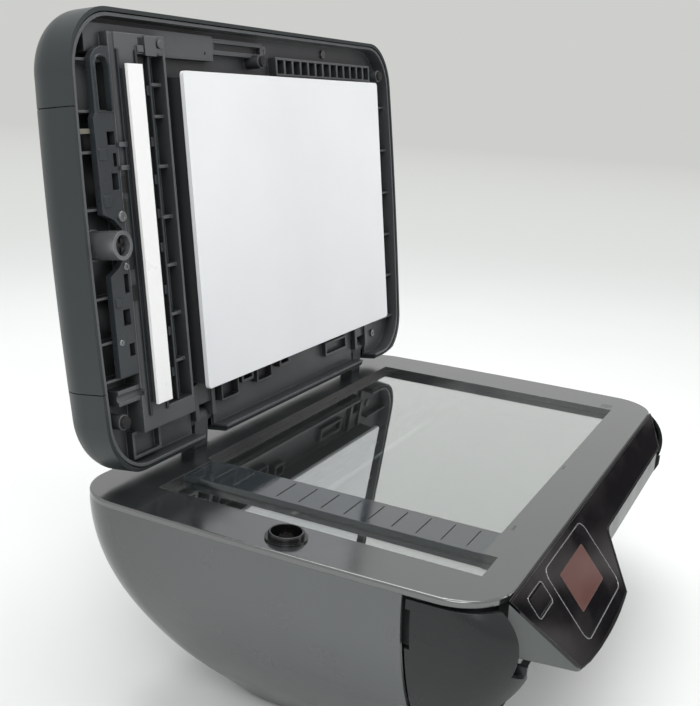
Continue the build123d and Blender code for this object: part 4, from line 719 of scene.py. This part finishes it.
FLOOR_HALF = 12.0
FLOOR_TONE = (238, 239, 237)
LIT_REACH, WALL_REACH = 0.55, 2.6
WALL_FOOT, WALL_TOP = 1.6, 7.0
WALL_LOW, WALL_HIGH, WALL_BRIGHT = (225, 227, 225), (206, 207, 204), (240, 242, 240)
ROOM_DARK, ROOM_DIM = (62, 58, 60), (186, 180, 178)
ROOM_DIRECTION, ROOM_EDGE, ROOM_CORE = (0.87, -0.48, 0.1), 0.84, 0.97
DAYLIGHT, DAYLIGHT_STRENGTH = (0.97, 0.985, 1.0, 1), 0.7


def make_floor():
    """A pale floor that is lit near the object and takes the wall's colour further out."""
    mesh = bmesh.new()
    corners = box_outline((-FLOOR_HALF, -FLOOR_HALF), (FLOOR_HALF, FLOOR_HALF))
    mesh.faces.new(ring_at(mesh, [(*corner, 0) for corner in corners], Matrix.Identity(4)))
    data = bpy.data.meshes.new("floor")
    mesh.to_mesh(data)
    mesh.free()
    floor = bpy.data.objects.new("floor", data)
    bpy.context.scene.collection.objects.link(floor)
    finish = Finish("floor_pale", Roughness=0.85, Specular_IOR_Level=0.1)
    creases = finish.remap(finish.noise(1.6, 4), 0.35, 0.7)
    finish.colour(finish.blend(creases, linear(FLOOR_TONE), shade(FLOOR_TONE, 0.95)))
    reach = finish.node("ShaderNodeVectorMath", operation="LENGTH")
    finish.join(finish.place, reach.inputs[0])
    far = finish.remap(reach.outputs["Value"], LIT_REACH, WALL_REACH, curve="SMOOTHSTEP")
    higher = finish.remap(reach.outputs["Value"], WALL_FOOT, WALL_TOP)
    wall = finish.node("ShaderNodeEmission")
    finish.join(finish.blend(higher, linear(WALL_LOW), linear(WALL_HIGH)), wall.inputs["Color"])
    surface = finish.mixed(far, finish.surface.outputs["BSDF"], wall.outputs["Emission"])
    finish.join(surface, finish.tree.nodes["Material Output"].inputs["Surface"])
    data.materials.append(finish.material)


def make_world():
    """Even soft light. Mirrored rays also see the room's unlit end as a mottled dark patch."""
    world = bpy.data.worlds.new("studio")
    bpy.context.scene.world = world
    world.use_nodes = True
    world.node_tree.nodes.clear()
    sky = Shader(world.node_tree)
    light = sky.node("ShaderNodeBackground")
    light.inputs["Color"].default_value = DAYLIGHT
    light.inputs["Strength"].default_value = DAYLIGHT_STRENGTH

    direction = sky.node("ShaderNodeTexCoord").outputs["Generated"]
    toward = sky.node("ShaderNodeVectorMath", operation="DOT_PRODUCT")
    toward.inputs[1].default_value = ROOM_DIRECTION
    sky.join(direction, toward.inputs[0])
    patch = sky.remap(toward.outputs["Value"], ROOM_EDGE, ROOM_CORE, curve="SMOOTHSTEP")
    shapes = sky.node("ShaderNodeTexNoise")
    shapes.inputs["Scale"].default_value = 9.0
    shapes.inputs["Detail"].default_value = 1.0
    shapes.inputs["Distortion"].default_value = 0.8
    sky.join(direction, shapes.inputs["Vector"])
    split = sky.remap(shapes.outputs["Fac"], 0.46, 0.6)
    room = sky.blend(split, linear(ROOM_DARK), linear(ROOM_DIM))
    mirrored = sky.blend(patch, linear(WALL_BRIGHT), room)

    rays = sky.node("ShaderNodeLightPath").outputs
    seen = sky.node("ShaderNodeBackground")
    sky.join(sky.blend(rays["Is Glossy Ray"], linear(WALL_HIGH), mirrored), seen.inputs["Color"])
    looks = rays["Is Camera Ray"]
    for ray in ("Is Transmission Ray", "Is Glossy Ray"):
        total = sky.node("ShaderNodeMath", operation="ADD", use_clamp=True)
        sky.join(looks, total.inputs[0])
        sky.join(rays[ray], total.inputs[1])
        looks = total.outputs[0]
    output = sky.node("ShaderNodeOutputWorld")
    lit = sky.mixed(looks, light.outputs["Background"], seen.outputs["Background"])
    sky.join(lit, output.inputs["Surface"])


def area_lamp(name, place, target, size, power):
    """A soft square lamp aimed at a point."""
    data = bpy.data.lights.new(name, "AREA")
    data.shape = "SQUARE"
    data.size = size
    data.energy = power
    lamp = bpy.data.objects.new(name, data)
    lamp.location = place
    lamp.rotation_mode = "QUATERNION"
    lamp.rotation_quaternion = (Vector(target) - Vector(place)).to_track_quat("-Z", "Y")
    bpy.context.scene.collection.objects.link(lamp)


make_floor()
make_world()
area_lamp("ceiling", (0.1, 0.2, 2.4), (0, 0, 0.2), size=1.6, power=30)
area_lamp("window", (-2.0, -0.9, 1.9), (0, 0.05, 0.2), size=1.4, power=24)
area_lamp("far_window", (1.3, -2.2, 1.5), (0, 0.1, 0.3), size=1.0, power=9)

# The camera as fitted to the photo: place in metres, angles in radians, lens and sensor in millimetres
CAMERA_PLACE = (-0.6874, -0.2719, 0.4226)
CAMERA_AZIMUTH = -1.121
CAMERA_ELEVATION = 0.260
CAMERA_ROLL = 0.063
CAMERA_LENS = 51.69
SENSOR_WIDTH = 36
NEAREST = 0.01


def make_camera():
    """The camera, aimed by its azimuth, elevation and roll."""
    level = math.cos(CAMERA_ELEVATION)
    back = Vector((
        math.sin(CAMERA_AZIMUTH) * level, -math.cos(CAMERA_AZIMUTH) * level, math.sin(CAMERA_ELEVATION)
    ))
    right = (-back).cross(Vector((0, 0, 1))).normalized()
    up = right.cross(-back)
    rolled_right = math.cos(CAMERA_ROLL) * right + math.sin(CAMERA_ROLL) * up
    rolled_up = math.cos(CAMERA_ROLL) * up - math.sin(CAMERA_ROLL) * right
    data = bpy.data.cameras.new("camera")
    data.lens = CAMERA_LENS
    data.sensor_width = SENSOR_WIDTH
    data.clip_start = NEAREST
    camera = bpy.data.objects.new("camera", data)
    camera.matrix_world = Matrix((rolled_right, rolled_up, back)).transposed().to_4x4()
    camera.location = CAMERA_PLACE
    bpy.context.scene.collection.objects.link(camera)
    bpy.context.scene.camera = camera


make_camera()
bpy.context.scene.view_settings.view_transform = "Standard"
